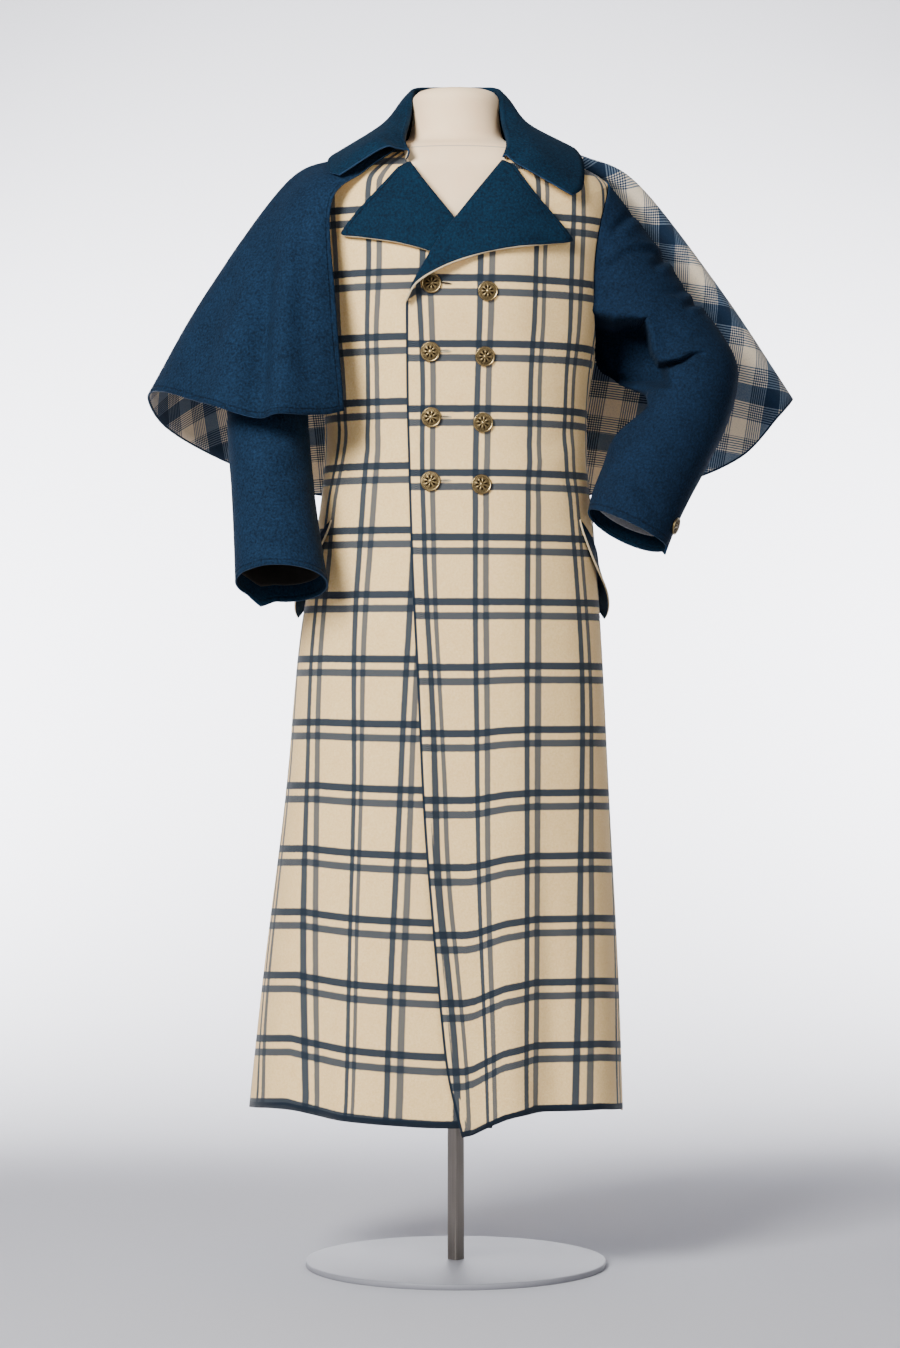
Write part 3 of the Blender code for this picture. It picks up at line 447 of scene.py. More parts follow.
# %% Block check, cream and navy
CHECK_REPEAT, CHECK_LINE, CHECK_RIM = 0.094, 0.0032, 0.003
CREAM_BLOCK, NAVY_BLOCK, HALF_BLOCK = 0.125, 0.625, 0.125     # middles and half width, as shares of a repeat


def block_check(name):
    made, tree, shader, where = start_finish(name, Roughness=0.93, Specular_IOR_Level=0.2, Sheen_Weight=0.12)
    fibre = noise(tree, where, 620.0, 2.0)
    share = 0.0
    for place in layer_parts(tree, "Plaid"):
        block = add(tree, "FLOORED_MODULO", add(tree, "MULTIPLY", place, 1 / CHECK_REPEAT), 1.0)
        line = add(tree, "SINE", add(tree, "MULTIPLY", place, 2 * math.pi / CHECK_LINE))
        line = add(tree, "ShaderNodeMapRange", line, -0.35, 0.35, 0.0, 1.0)
        navy = add(tree, "COMPARE", block, NAVY_BLOCK, HALF_BLOCK)
        clear = add(tree, "SUBTRACT", 1.0, add(tree, "COMPARE", block, CREAM_BLOCK, HALF_BLOCK))
        amount = add(tree, "MULTIPLY", add(tree, "MAXIMUM", line, navy), clear)
        share = add(tree, "MULTIPLY_ADD", amount, 0.5, share)
    share = add(tree, "MULTIPLY_ADD", fibre, 0.16, share)
    share = add(tree, "SUBTRACT", share, 0.08, use_clamp=True)
    # Threads of two colours side by side look darker than their mean, which the power allows for
    share = add(tree, "POWER", share, 0.6)
    rim = add(tree, "LESS_THAN", add(tree, "MINIMUM", *layer_parts(tree, "Edges")), CHECK_RIM)
    share = add(tree, "MAXIMUM", share, rim)
    navy = blend(tree, add(tree, "ShaderNodeMapRange", share, 0.62, 1.0, 0.0, 1.0), "506276", "0A2036")
    slate = add(tree, "ShaderNodeMapRange", share, 0.0, 0.68, 0.0, 1.0)
    set_inputs(tree, shader, {"Base Color": blend(tree, slate, "DCCBB0", navy),
                              "Normal": relief(tree, fibre, 0.3, 0.0005)})
    return made


CHECK = block_check("block check wool, cream and navy")
print("check repeats every", CHECK_REPEAT * 1000, "mm")

# %% [markdown]
# ## Small finishes
# The cut edge shows the cloth's own threads: cream on the plaid pieces, navy on the plain blue ones.
# The lining is satin woven cotton: fine threads that lie one way, so it is smoother than the wool and
# has a soft shine. The right sleeve's lining is drawn nearly black, which is painted shade deep inside its
# cuff.

# %% Cut edge, linings
def plain_cloth(name, shade, light, rough, grain):
    made, tree, shader, where = start_finish(name, Roughness=rough, Specular_IOR_Level=0.3)
    fine = noise(tree, where, grain, 2.0)
    set_inputs(tree, shader, {"Base Color": blend(tree, fine, shade, light),
                              "Normal": relief(tree, fine, 0.2, 0.0003)})
    return made


CUT_EDGE = plain_cloth("cut wool edge, cream", "A08A66", "D8C6A4", 0.95, 900.0)
DARK_EDGE = plain_cloth("cut wool edge, navy", "0C2238", "1B3B5A", 0.95, 900.0)
GREY_LINING = plain_cloth("satin lining, pale grey", "8C8D92", "B4B5BA", 0.55, 500.0)
# The same satin, darkened for the right sleeve: painted shade deep inside that cuff
SHADED_LINING = plain_cloth("satin lining, darkened for painted shade", "14110F", "27221E", 0.6, 500.0)
print("edges and linings made")

# %% [markdown]
# ## Creases
# A crease in heavy cloth is a soft trough with a ridge beside it. Each one is drawn as a line in the
# front view, with a depth and a width. Points near the line are pressed in along the cloth's normal,
# less toward the line's ends, and only on the side of the garment that the crease is on. The fold inside
# the bent elbow is too deep for that, so there the cloth on one side of a line drops straight back.

# %% Press creases into a grid
RIDGE_AWAY, RIDGE_REACH = 1.5, 4.0     # in widths of the crease
CREASE_FADE = 0.6


def beside(spot, line):
    # For each point: distance from the line, the same with a sign, place along it in intervals, its left
    nearest = np.full(spot.shape[:2], 1e9)
    offset, place = np.zeros((2,) + nearest.shape)
    lean = np.zeros(spot.shape)
    for k, step in enumerate(np.diff(line, axis=0)):
        length = np.linalg.norm(step)
        run = step / length
        left = np.array((-run[1], run[0]))
        t = np.clip((spot - line[k]) @ run, 0, length)
        away = spot - line[k] - t[..., None] * run
        distance = np.linalg.norm(away, axis=-1)
        closer = distance < nearest
        nearest = np.where(closer, distance, nearest)
        offset = np.where(closer, away @ left, offset)
        place = np.where(closer, k + t / length, place)
        lean = np.where(closer[..., None], left, lean)
    return nearest, offset, place, lean


def press(grid, creases, outside, ring=False):
    # Creases are in millimetres: line, depth, half width, height of the ridge beside it, side it is on
    normals = grid_normals(grid[..., :3], outside, ring)
    push = np.zeros(grid.shape[:2])
    for line, *sizes, side in creases:
        line, (depth, width, ridge) = np.array(line) / 1000, np.array(sizes) / 1000
        nearest, offset, place, _ = beside(grid[..., [0, 2]], line)
        share = run_up(step_lengths(line))
        share = np.interp(place, range(len(line)), share / share[-1])
        bank = hump(offset - RIDGE_AWAY * width, width) * (nearest < RIDGE_REACH * width)
        fade = np.sin(np.pi * np.clip(share, 0, 1)) ** CREASE_FADE
        facing = np.clip(0.8 - 2.5 * side * normals[..., 1], 0, 1)
        push += (-depth * hump(nearest, width) + ridge * bank) * fade * facing
    pressed = grid.copy()
    pressed[..., :3] += normals * push[..., None]
    return pressed


BROW, BROW_DEEP, BROW_DROP = 0.012, 0.02, 0.004     # width of the fold's brow, hollow it needs, its sag
# The drop is steep at the elbow and softer toward the body, and it ends above the forearm
BRINK, BRINK_SOFTER, BRINK_ACROSS, FOREARM_TOP = 0.004, 0.012, (0.245, 0.215), (1.16, 1.18)
# The hollow's floor lies near the back of the sleeve, which is nearer toward the elbow
FLOOR, FLOOR_NEARER, FLOOR_ACROSS = 0.058, 0.043, (0.19, 0.26)


def tuck(grid, line, depths, widths, lip, outside):
    # A fold that hangs over: the cloth left of the line stays, and on its right it drops away steeply
    normals = grid_normals(grid[..., :3], outside, True)
    x, y, z = [grid[..., c] for c in range(3)]
    nearest, offset, place, lean = beside(grid[..., [0, 2]], np.array(line))
    offset = np.where(offset < 0, -nearest, nearest)
    deep, wide = [np.interp(place, range(len(line)), each) for each in (depths, widths)]
    brink = BRINK + BRINK_SOFTER * ramp(x, *BRINK_ACROSS)
    fall = soft(ramp(offset, brink / 2, -brink / 2))
    rise = soft(ramp(nearest, 0.4 * wide, wide))
    floor = FLOOR - FLOOR_NEARER * ramp(x, *FLOOR_ACROSS)
    hollow = np.clip(floor - y, 0, deep) * fall * (1 - rise) * ramp(z, *FOREARM_TOP)
    brow = ramp(deep, 0, BROW_DEEP) * hump(offset, BROW) * (1 - fall) * ramp(-normals[..., 1], 0, 0.25)
    moved = grid.copy()
    moved[..., :3] += normals * (lip * brow)[..., None]
    moved[..., 1] += hollow
    moved[..., [0, 2]] -= lean * (BROW_DROP * brow)[..., None]
    return moved


print("creases are pressed along the cloth's own normals")

# %% [markdown]
# ## The two fronts
# Each front is one piece of cloth from the side seam to its edge. Above the break the edge turns back
# as the lapel, so the blue face comes to the outside. The left front lies over the right one.

# %% Sizes of the fronts
# Angle and height along the hem: the left front, then the right front with the back
HEM = {
    1: ((5.5, 0.195), (8.3, 0.198), (12, 0.206), (17, 0.216), (28, 0.225), (55, 0.222), (90, 0.21)),
    -1: ((-180, 0.206), (-90, 0.213), (-50, 0.225), (-25, 0.214), (0, 0.207), (180, 0.206)),
}
ARMHOLE_TOP, ARMHOLE_BOTTOM = 1.445, 1.22
ARMHOLE_MIDDLE, ARMHOLE_REACH = (ARMHOLE_TOP + ARMHOLE_BOTTOM) / 2, (ARMHOLE_TOP - ARMHOLE_BOTTOM) / 2
ARMHOLE_DEPTH = {True: 0.062, False: 0.072}
NECK_SIDE = 1.5
NECKLINE = ((18.0, 1.455), (28.0, 1.475), (43.0, 1.49), (60.0, 1.4965), (90.0, 1.5), (180.0, 1.507))
BREAK_HEIGHT = 1.265
EDGE_STRIP = 0.012
# Height and x along the free edge of each front
EDGE = {
    1: ((0.196, 0.007), (0.284, -0.013), (0.384, -0.023), (0.585, -0.04), (0.775, -0.049),
        (0.954, -0.058), (1.067, -0.061), (1.195, -0.064), (1.265, -0.063)),
    -1: ((0.205, 0.046), (0.585, 0.056), (1.067, 0.061), (1.265, 0.062)),
}
# How far the left front stands off the body where it lies over the right one, and where that fades out
OVERLAP, OVER_LAPEL_EASE = WALL + 0.002, 0.001
OVERLAP_FADE, LAPEL_FADE, NECK_FADE = (0.13, 0.07), (1.225, 1.27), (1.47, 1.41)
# Lapel rows from the break up: roll x, roll height, outer edge x, outer edge height, fold angle
LAPEL = (
    (-0.053, 1.274, -0.0445, 1.279, 40.0), (-0.054, 1.287, -0.036, 1.297, 115.0),
    (-0.047, 1.303, -0.0116, 1.3133, 165.0), (-0.0362, 1.321, 0.0311, 1.329, 180.0),
    (-0.018, 1.351, 0.088, 1.34, 180.0), (0.0, 1.373, 0.136, 1.348, 180.0),
    (0.014, 1.391, 0.143, 1.355, 180.0), (0.03, 1.411, 0.1277, 1.3778, 180.0),
    (0.046, 1.432, 0.098, 1.411, 180.0), (0.0615, 1.4545, 0.075, 1.447, 180.0),
)
LAPEL_START_UNDER = (
    (-0.0605, 1.274, -0.053, 1.2745, 30.0), (-0.0565, 1.287, -0.052, 1.2875, 110.0),
    (-0.05, 1.303, -0.03, 1.307, 180.0),
)
LAPEL_UNDER_RISE = 0.009
LAPEL_LIFT = 0.005
LAPEL_OPEN = {1: 0.066, -1: 0.036}
LAPEL_RUNS = (0.12, 0.36, 0.66, 1.0)
FOLD_STEP = 0.0006
FRONT_COLUMNS, FOLD_COLUMNS, CROWD = 11, 3, 1.25
FINE, FOLD_FINE, BACK_FINE = 6, 3, 5     # parts that each interval of a grid is filled in with
SIDE_ROWS, ARMHOLE_ROWS, SHOULDER_ROWS, BACK_COLUMNS = 13, 9, 4, 18


def armhole_angle(height, front):
    share = max(0.0, 1.0 - ((height - ARMHOLE_MIDDLE) / ARMHOLE_REACH) ** 2)
    depth = smooth_value(BODY, height, 3 if front else 4)
    lean = math.degrees(math.asin((ARMHOLE_DEPTH[front] * math.sqrt(share) / depth) ** (ROUND / 2)))
    return 90.0 - lean if front else 90.0 + lean


def side_rows(hem, front):
    rows = [(90.0, hem + (ARMHOLE_BOTTOM - hem) * k / SIDE_ROWS) for k in range(SIDE_ROWS)]
    for k in range(ARMHOLE_ROWS):
        height = ARMHOLE_MIDDLE - ARMHOLE_REACH * math.cos(math.pi * k / ARMHOLE_ROWS)
        rows.append((armhole_angle(height, front), height))
    rise = (NECK_SIDE - ARMHOLE_TOP) / SHOULDER_ROWS
    return rows + [(90.0, ARMHOLE_TOP + rise * k) for k in range(SHOULDER_ROWS + 1)]


def seam_angle(height):
    return math.degrees(SEAM_EASE / smooth_value(BODY, height, 3))


def overlap_step(x, height):
    cover, high, low = soft(ramp(x, *OVERLAP_FADE)), ramp(height, *LAPEL_FADE), ramp(height, *NECK_FADE)
    return cover * low * (OVERLAP + (LAPEL_LIFT + OVER_LAPEL_EASE) * high)


def front_point(sign, x, height, out):
    step = overlap_step(x, height) if sign > 0 else 0.0
    return body_point(angle_at(x, height), height, out + step)


print("lapel is turned back above", BREAK_HEIGHT, "m")

# %% [markdown]
# The stripes lean and crowd together where the skirt folds, so their places are given in a table: for
# some heights, the angle of each upright stripe round the body. Between the rows they run smoothly.

# %% Where the stripes run on the fronts
# Height, then the angles of the dark and pale stripe of each pair, from the front edge to the side
STRIPES = {1: (
    (0.213, 5.0, 7.6, 12.5, 14.6, 24.3, 28.2, 43.8, 49.7, 70.0, 75.5),
    (0.294, 3.8, 6.4, 11.6, 13.9, 24.2, 28.1, 44.7, 50.9, 70.8, 76.8),
    (0.543, -1.5, 0.5, 8.5, 11.3, 24.8, 29.1, 49.1, 55.4, 80.3, 87.3),
    (0.796, -5.0, -2.9, 7.0, 10.6, 25.8, 30.6, 55.4, 62.2, 84.0, 91.0),
    (1.01, -10.9, -7.3, 6.0, 9.5, 27.6, 33.0, 53.8, 60.2, 80.0, 87.0),
    (1.085, -11.8, -7.6, 6.4, 10.6, 29.9, 35.4, 52.8, 60.2, 80.0, 88.0),
    (1.178, -11.2, -7.2, 6.9, 10.8, 29.7, 34.6, 51.5, 58.3, 78.0, 86.0),
    (1.329, -11.6, -7.4, 7.0, 10.7, 28.2, 32.6, 47.0, 55.0, 74.0, 82.0),
    (1.413, -12.4, -8.2, 7.4, 11.2, 28.0, 32.0, 45.2, 51.7, 68.0, 75.0),
), -1: (     # the same from the side to the front edge
    (0.239, -67.1, -62.2, -41.3, -36.5, -24.1, -22.3, -12.2, -8.6),
    (0.34, -73.3, -67.5, -44.6, -39.3, -25.5, -23.4, -12.8, -9.1),
    (0.496, -78.0, -72.0, -50.9, -44.5, -28.3, -26.1, -13.3, -9.5),
    (0.677, -82.0, -76.0, -57.8, -50.9, -31.7, -28.9, -13.5, -10.1),
    (0.858, -88.0, -81.0, -63.4, -55.2, -35.7, -31.3, -12.8, -9.3),
    (1.012, -90.0, -83.0, -67.8, -59.7, -39.6, -33.2, -14.0, -10.0),
    (1.086, -86.0, -79.0, -61.1, -54.4, -39.2, -32.5, -14.0, -10.0),
    (1.179, -84.0, -77.0, -60.0, -53.0, -37.7, -32.2, -13.0, -9.0),
    (1.325, -80.0, -73.0, -57.0, -50.0, -32.0, -27.2, -10.0, -6.2),
    (1.45, -76.0, -70.0, -54.0, -48.0, -30.0, -25.5, -9.0, -5.0),
)}
PAIR_LEVEL = {1: 1.2909, -1: 1.3009}      # height of one level pair on each front
HEM_MEAN = {1: 0.2095, -1: 0.214}
HEM_FOLLOW, FOLLOW_GROWS, FOLLOW_MORE = (0.9, 0.2), 1.5, 1.3     # how the level stripes take on the hem's dip
ANGLE_PER_REPEAT = 17.0                   # past the table's ends


def stripe_across(sign, angle, height):
    rows = STRIPES[sign]
    count = len(rows[0]) - 1
    first = 0 if sign > 0 else 1 - count // 2
    marks = [first + k // 2 + (STRIPE_OFF if k % 2 else -STRIPE_OFF) for k in range(count)]
    places = [smooth_value(rows, height, k + 1) for k in range(count)]
    across = marks[0] + (angle - places[0]) / ANGLE_PER_REPEAT
    for k in range(count - 1):
        share = (angle - places[k]) / (places[k + 1] - places[k])
        across = np.where(angle > places[k], marks[k] + (marks[k + 1] - marks[k]) * share, across)
    return np.where(angle > places[-1], marks[-1] + (angle - places[-1]) / ANGLE_PER_REPEAT, across)


def stripe_down(sign, angle, height):
    hem = table_value(HEM[sign], angle)
    follow = FOLLOW_MORE * (hem - HEM_MEAN[sign]) * ramp(height, *HEM_FOLLOW) ** FOLLOW_GROWS
    return (PAIR_LEVEL[sign] - height + follow) / REPEAT_DOWN


print("stripes fixed at", len(STRIPES[1]) + len(STRIPES[-1]), "heights")

# %% Build the fronts
def front_rows(sign):
    edge, rows = EDGE[sign], []
    for k in range(SIDE_ROWS + 1):
        height = edge[0][0] + (BREAK_HEIGHT - edge[0][0]) * k / SIDE_ROWS
        edge_x = float(smooth_value(edge, height, 1))
        rows.append((edge_x + sign * EDGE_STRIP, height, edge_x + 2 * sign * EDGE_STRIP, height, 0.0))
    lapel = LAPEL if sign > 0 else LAPEL_START_UNDER + LAPEL[len(LAPEL_START_UNDER):]
    for k, (roll_x, roll_z, out_x, out_z, fold) in enumerate(lapel):
        covered = sign < 0 and k < len(lapel) - 1
        rise = LAPEL_UNDER_RISE * min(max((k - 2) / 2, 0.0), 1.0) if covered else 0.0
        rows.append((sign * roll_x, roll_z, sign * out_x, out_z + rise, fold))
    return rows


def lapel_points(sign, roll_x, roll_z, out_x, out_z, fold, angle, height, at_hem):
    # Points over the fold and out to the edge, with the plaid running on past the roll line
    reach = math.hypot(out_x - roll_x, out_z - roll_z)
    away_x, away_z = (out_x - roll_x) / reach, (out_z - roll_z) / reach
    turn = math.radians(min(max(fold, 0.0), 180.0))
    radius = LAPEL_LIFT / 2
    steps = [(turn * (c + 1) / FOLD_COLUMNS, 0.0, FOLD_STEP * (c + 1)) for c in range(FOLD_COLUMNS)]
    steps += [(turn, reach * share, reach * share) for share in LAPEL_RUNS]
    flat = math.cos(turn / 2) ** 2
    row = []
    for index, (bend, run, length) in enumerate(steps):
        forward = radius * math.sin(bend) + run * math.cos(turn)
        rise = radius * (1 - math.cos(bend)) + run * (math.sin(turn) + LAPEL_OPEN[sign] * turn / math.pi)
        if index < FOLD_COLUMNS:
            forward += flat * FOLD_STEP * (index + 1)
        else:
            forward += flat * FOLD_STEP * FOLD_COLUMNS * (1 - run / reach)
        x, z = roll_x - away_x * forward, roll_z - away_z * forward
        if at_hem:
            z = float(table_value(HEM[sign], angle_at(x, z)))
        row.append([*front_point(sign, x, z, rise), angle, height, reach - run, length + bend * radius])
    return row


def front_grid(sign):
    inner = front_rows(sign)
    outer = side_rows(float(table_value(HEM[sign], 90.0 * sign)), True)
    keyed = [(index, *row) for index, row in enumerate(inner)]
    grid = []
    for k, (side_angle, side_z) in enumerate(outer):
        pick = k * (len(inner) - 1) / (len(outer) - 1)
        roll_x, roll_z, out_x, out_z, fold = [float(smooth_value(keyed, pick, c + 1)) for c in range(5)]
        side_angle -= seam_angle(side_z)
        roll_angle = sign * angle_at(roll_x, roll_z)
        above = max(0.0, (k - SIDE_ROWS - ARMHOLE_ROWS) / SHOULDER_ROWS)
        row = []
        for c in range(FRONT_COLUMNS + 1):
            t = 1 - (1 - c / FRONT_COLUMNS) ** CROWD
            angle = sign * (side_angle + (roll_angle - side_angle) * t)
            height = side_z + (roll_z - side_z) * t
            if k == 0:
                height = float(table_value(HEM[sign], angle))
            first, last = NECKLINE[-2], NECKLINE[0]
            neck = table_value(NECKLINE, first[0] + (last[0] - first[0]) * t)
            height += above * (neck - first[1] - (last[1] - first[1]) * t)
            x = body_plain(angle, height)[0]
            step = overlap_step(x, height) if sign > 0 else 0.0
            row.append([*body_point(angle, height, step), angle, height, 0.5, 0.0])
        reach = math.hypot(out_x - roll_x, out_z - roll_z)
        for entry in row:
            entry[5] = reach + abs(entry[0] - row[-1][0])
        row += lapel_points(sign, roll_x, roll_z, out_x, out_z, fold, roll_angle, row[-1][4], k == 0)
        grid.append(row)
    across = [FINE] * FRONT_COLUMNS + [FOLD_FINE] * (FOLD_COLUMNS + 1) + [FINE] * (len(LAPEL_RUNS) - 1)
    return lay_plaid(sign, fill_grid(grid, FINE, across))


TRUST_X, TRUST_HEIGHT, TRUST_ANGLE = (0.11, 0.14), (0.88, 0.96), (84, 78)


def lay_plaid(sign, grid):
    # The grid's last four numbers are the angle, height, distance from the edge and run past the roll
    angle, height, edge, past = [grid[..., c] for c in (3, 4, 5, 6)]
    found = angle_at(grid[..., 0], grid[..., 2])
    own_angle = np.where(past > 0, found, angle)
    # Beside the armhole the surface itself gives the angle better than the filled-in numbers do
    trust = ramp(abs(grid[..., 0]), *TRUST_X) * ramp(grid[..., 2], *TRUST_HEIGHT)
    trust = trust * ramp(abs(angle), *TRUST_ANGLE) * (past <= 0)
    angle = angle + (found - angle) * trust
    hem = grid[..., 2] - table_value(HEM[sign], own_angle)
    across = stripe_across(sign, angle, height) - sign * past / REPEAT_ACROSS
    down = stripe_down(sign, angle, height)
    return with_plaid(grid[..., :3], across, down, edge, hem)


FRONT_CREASES = {
    1: (
        (((138, 1130), (142, 1060), (152, 985)), 1.2, 1.6, 0.4, 1),
        (((170, 1120), (120, 1085), (60, 1080)), 1.8, 12, 1, 1),
        (((165, 1050), (110, 1030), (50, 1045)), 1.4, 14, 0.8, 1),
    ),
    -1: (
        (((-120, 1290), (-112, 1180), (-118, 1080)), 3, 14, 1.2, 1),
        (((-165, 1120), (-120, 1080), (-75, 1085)), 1.8, 12, 1, 1),
        (((-160, 960), (-150, 880), (-150, 790)), 2.6, 13, 1.2, 1),
    ),
}
# The free edge of the left front stands off the one below it
EDGE_STANDS_OFF = (tuple((1000 * row[1] + 4, 1000 * row[0]) for row in EDGE[1][:6]), -6, 14, 0, 1)
for sign, side in SIDES:
    creases = FRONT_CREASES[sign] + ((EDGE_STANDS_OFF,) if sign > 0 else ())
    grid = press(front_grid(sign), creases, -sign)
    front = cloth_shell(side + "_front", grid, -sign, (PLAID, BLUE_LAPEL, CUT_EDGE))
    dress(front, ["front_" + side])

# %% [markdown]
# ## The back
# The back hangs from the shoulders in one piece, with deep soft folds in the skirt. Its plaid starts
# from the centre line and runs straight to the side seams.

# %% Build the back
def back_grid():
    left, right = [side_rows(float(table_value(HEM[sign], 90.0 * sign)), False) for sign in (1, -1)]
    grid = []
    for k, ((start_angle, start_z), (end_angle, end_z)) in enumerate(zip(left, right)):
        ease = seam_angle(start_z)
        start, end = start_angle + ease, 360.0 - end_angle - ease
        above = max(0.0, (k - SIDE_ROWS - ARMHOLE_ROWS) / SHOULDER_ROWS)
        row = []
        for c in range(BACK_COLUMNS + 1):
            t = c / BACK_COLUMNS
            angle = start + (end - start) * t
            height = start_z + (end_z - start_z) * t
            height += above * (table_value(NECKLINE, min(angle, 360.0 - angle)) - height)
            turned = angle - 360.0 if angle > 180.0 else angle
            hem = float(table_value(HEM[-1], turned))
            height = hem if k == 0 else height
            row.append([*body_point(angle, height), 0.0, stripe_down(-1, turned, height), 0.5, height - hem])
        row = np.array(row)
        arcs = run_up(step_lengths(row[:, :3]))
        row[:, 3] = (arcs - arcs[BACK_COLUMNS // 2]) / REPEAT_ACROSS
        grid.append(row)
    return fill_grid(grid, FINE, BACK_FINE)


BACK_CREASES = (
    (((150, 1240), (80, 1160), (0, 1130)), 3, 16, 1.6, -1),
    (((-150, 1250), (-70, 1180), (10, 1150)), 2.6, 15, 1.6, -1),
    (((0, 1060), (4, 780), (0, 260)), 2, 4, 1, -1),
)
back = cloth_shell("coat_back", press(back_grid(), BACK_CREASES, 1), 1, (PLAID, BLUE, CUT_EDGE))
dress(back, ["back"])

# %% [markdown]
# ## Sleeves and linings
# A sleeve is a tube from the armhole to the cuff. The left one is bent, so its cloth is crushed into
# deep folds inside the elbow. Each lining is a second, thinner tube that stops just inside the cuff.

# %% Sleeve sections
# In millimetres: outer x, outer height, inner x, inner height, centre y, half depth
SLEEVES = {
    1: (
        (260, 1368, 196, 1196, 4, 77), (311, 1292, 223, 1174, -6, 77), (348, 1245, 248, 1164, -20, 72),
        (372.5, 1190, 256, 1153, -34, 69), (360, 1125, 243, 1129, -47, 65),
        (332, 1066, 209, 1098, -61, 61), (306, 1018, 193, 1059, -77, 58), (286, 978, 180, 1026, -92, 54),
        (275, 952, 174, 1002, -100, 53),
    ),
    -1: (
        (-252, 1380, -198, 1219, 2, 77), (-282, 1290, -202, 1183, -14, 76),
        (-297, 1192, -199, 1142, -40, 70), (-299, 1110, -193, 1090, -74, 65),
        (-292, 1030, -185, 1020, -104, 62), (-287, 960, -175, 955, -133, 60),
        (-284, 906, -166, 904, -155, 59),
    ),
}
# Point of each cuff's vent: turn round the arm in degrees, half width in degrees, length
VENT = {1: (0.0, 20.0, 0.009), -1: (300.0, 20.0, 0.011)}
CUFF_LIP = {1: 0.01, -1: 0.0}   # how much further the front of each cuff reaches
ARMHOLE_EASE = 0.0013
LINING_WALL = 0.0012
LINING_INSET = WALL / 2 + LINING_WALL / 2 + 0.0007


def armhole_point(sign, turn):
    height = ARMHOLE_MIDDLE + ARMHOLE_REACH * math.cos(turn)
    angle = sign * armhole_angle(height, math.sin(turn) > 0)
    out = ARMHOLE_EASE + WALL / 2 * abs(body_normal(angle, height)[0])
    return body_plain(angle, height) + np.array((sign * out, 0.0, 0.0))


def sleeve_sections(sign, columns, inward=0.0):
    rows = np.array(SLEEVES[sign]) / 1000
    turns = [2 * math.pi * c / columns for c in range(columns)]
    sections = [[armhole_point(sign, turn) for turn in turns]]
    middles = [np.array(((r[0] + r[2]) / 2, r[4], (r[1] + r[3]) / 2)) for r in rows]
    start = np.array((sign * 0.19, 0.0, ARMHOLE_MIDDLE))
    for k, row in enumerate(rows):
        across = np.array((row[0] - row[2], 0.0, row[1] - row[3])) / 2
        before = middles[k - 1] if k > 0 else start
        after = middles[k + 1] if k + 1 < len(rows) else 2 * middles[k] - middles[k - 1]
        depth = unit(np.cross(unit(after - before), unit(across)))
        depth = -depth if depth[1] > 0 else depth
        wide, deep = np.linalg.norm(across) - inward, row[5] - inward
        sections.append([middles[k] + unit(across) * wide * math.cos(turn) + depth * deep * math.sin(turn)
                         for turn in turns])
    vent, half, length = VENT[sign]
    for c, turn in enumerate(turns):
        away = abs((math.degrees(turn) - vent + 180.0) % 360.0 - 180.0)
        reach = length * max(0.0, 1.0 - away / half) + CUFF_LIP[sign] * max(0.0, math.sin(turn))
        sections[-1][c] = sections[-1][c] + unit(after - before) * reach
    return np.array(sections)


def along(points, t):
    # Smooth curve through evenly spaced rows, t from 0 to 1
    at = t * (len(points) - 1)
    k = min(int(at), len(points) - 2)
    u = at - k
    a, b = points[k], points[k + 1]
    before = points[k - 1] if k > 0 else 2 * a - b
    after = points[k + 2] if k + 2 < len(points) else 2 * b - a
    return 0.5 * (2 * a + (b - before) * u + (2 * before - 5 * a + 4 * b - after) * u**2
                  + (3 * a - before - 3 * b + after) * u**3)


def tube_grid(sections, rows, first=0.0, last=1.0):
    places = [along(sections, first + (last - first) * k / rows) for k in range(rows + 1)]
    tube = np.array([np.concatenate([ring, ring[:1]]) for ring in places])
    run = run_up(step_lengths(tube).mean(axis=1))[:, None]
    girth = step_lengths(tube, 1).sum(axis=1).mean()
    round_it = np.linspace(0, girth, tube.shape[1])
    grid = with_plaid(tube, round_it / REPEAT_ACROSS, run / REPEAT_DOWN, 0.5, run[-1] - run)
    return grid, (round(girth, 3), round(float(run[-1, 0]), 3))


print("sleeve tables have", len(SLEEVES[1]), "and", len(SLEEVES[-1]), "sections")

# %% Build the sleeves and their linings
SLEEVE_CREASES = {
    1: (
        (((196, 1318), (219, 1339), (235, 1346), (259, 1347), (280, 1340)), 4, 5, 3, 1),
        (((236, 1400), (204, 1368)), 7, 7, 3, 1),
        (((290, 1350), (258, 1322)), 6, 7, 3, 1),
        (((330, 1285), (300, 1270)), 5, 6, 3, 1),
        (((310, 1300), (292, 1290), (270, 1292)), 3.5, 6, 2, 1),
        (((283, 1238), (300, 1228), (322, 1226)), 2.6, 5, 3, 1),
        (((262, 1000), (232, 1036), (206, 1056)), 2.2, 9, 1.6, 1),
        (((200, 1190), (236, 1182), (276, 1190)), 8, 9, 5, -1),
        (((205, 1145), (240, 1140), (290, 1138)), 5, 9, 3, -1),
        (((300, 1290), (270, 1240), (240, 1210)), 3, 12, 1.6, -1),
    ),
    -1: (
        (((-205, 1120), (-240, 1090), (-285, 1095)), 3.4, 12, 2, 1),
        (((-190, 1060), (-235, 1040), (-270, 1052)), 2.6, 11, 1.6, 1),
        (((-262, 1000), (-256, 955), (-262, 915)), 1.6, 10, 0.8, 1),
        (((-205, 1150), (-245, 1120), (-290, 1130)), 3.6, 12, 2, -1),
        (((-195, 1080), (-240, 1060), (-285, 1070)), 2.6, 11, 1.6, -1),
    ),
}
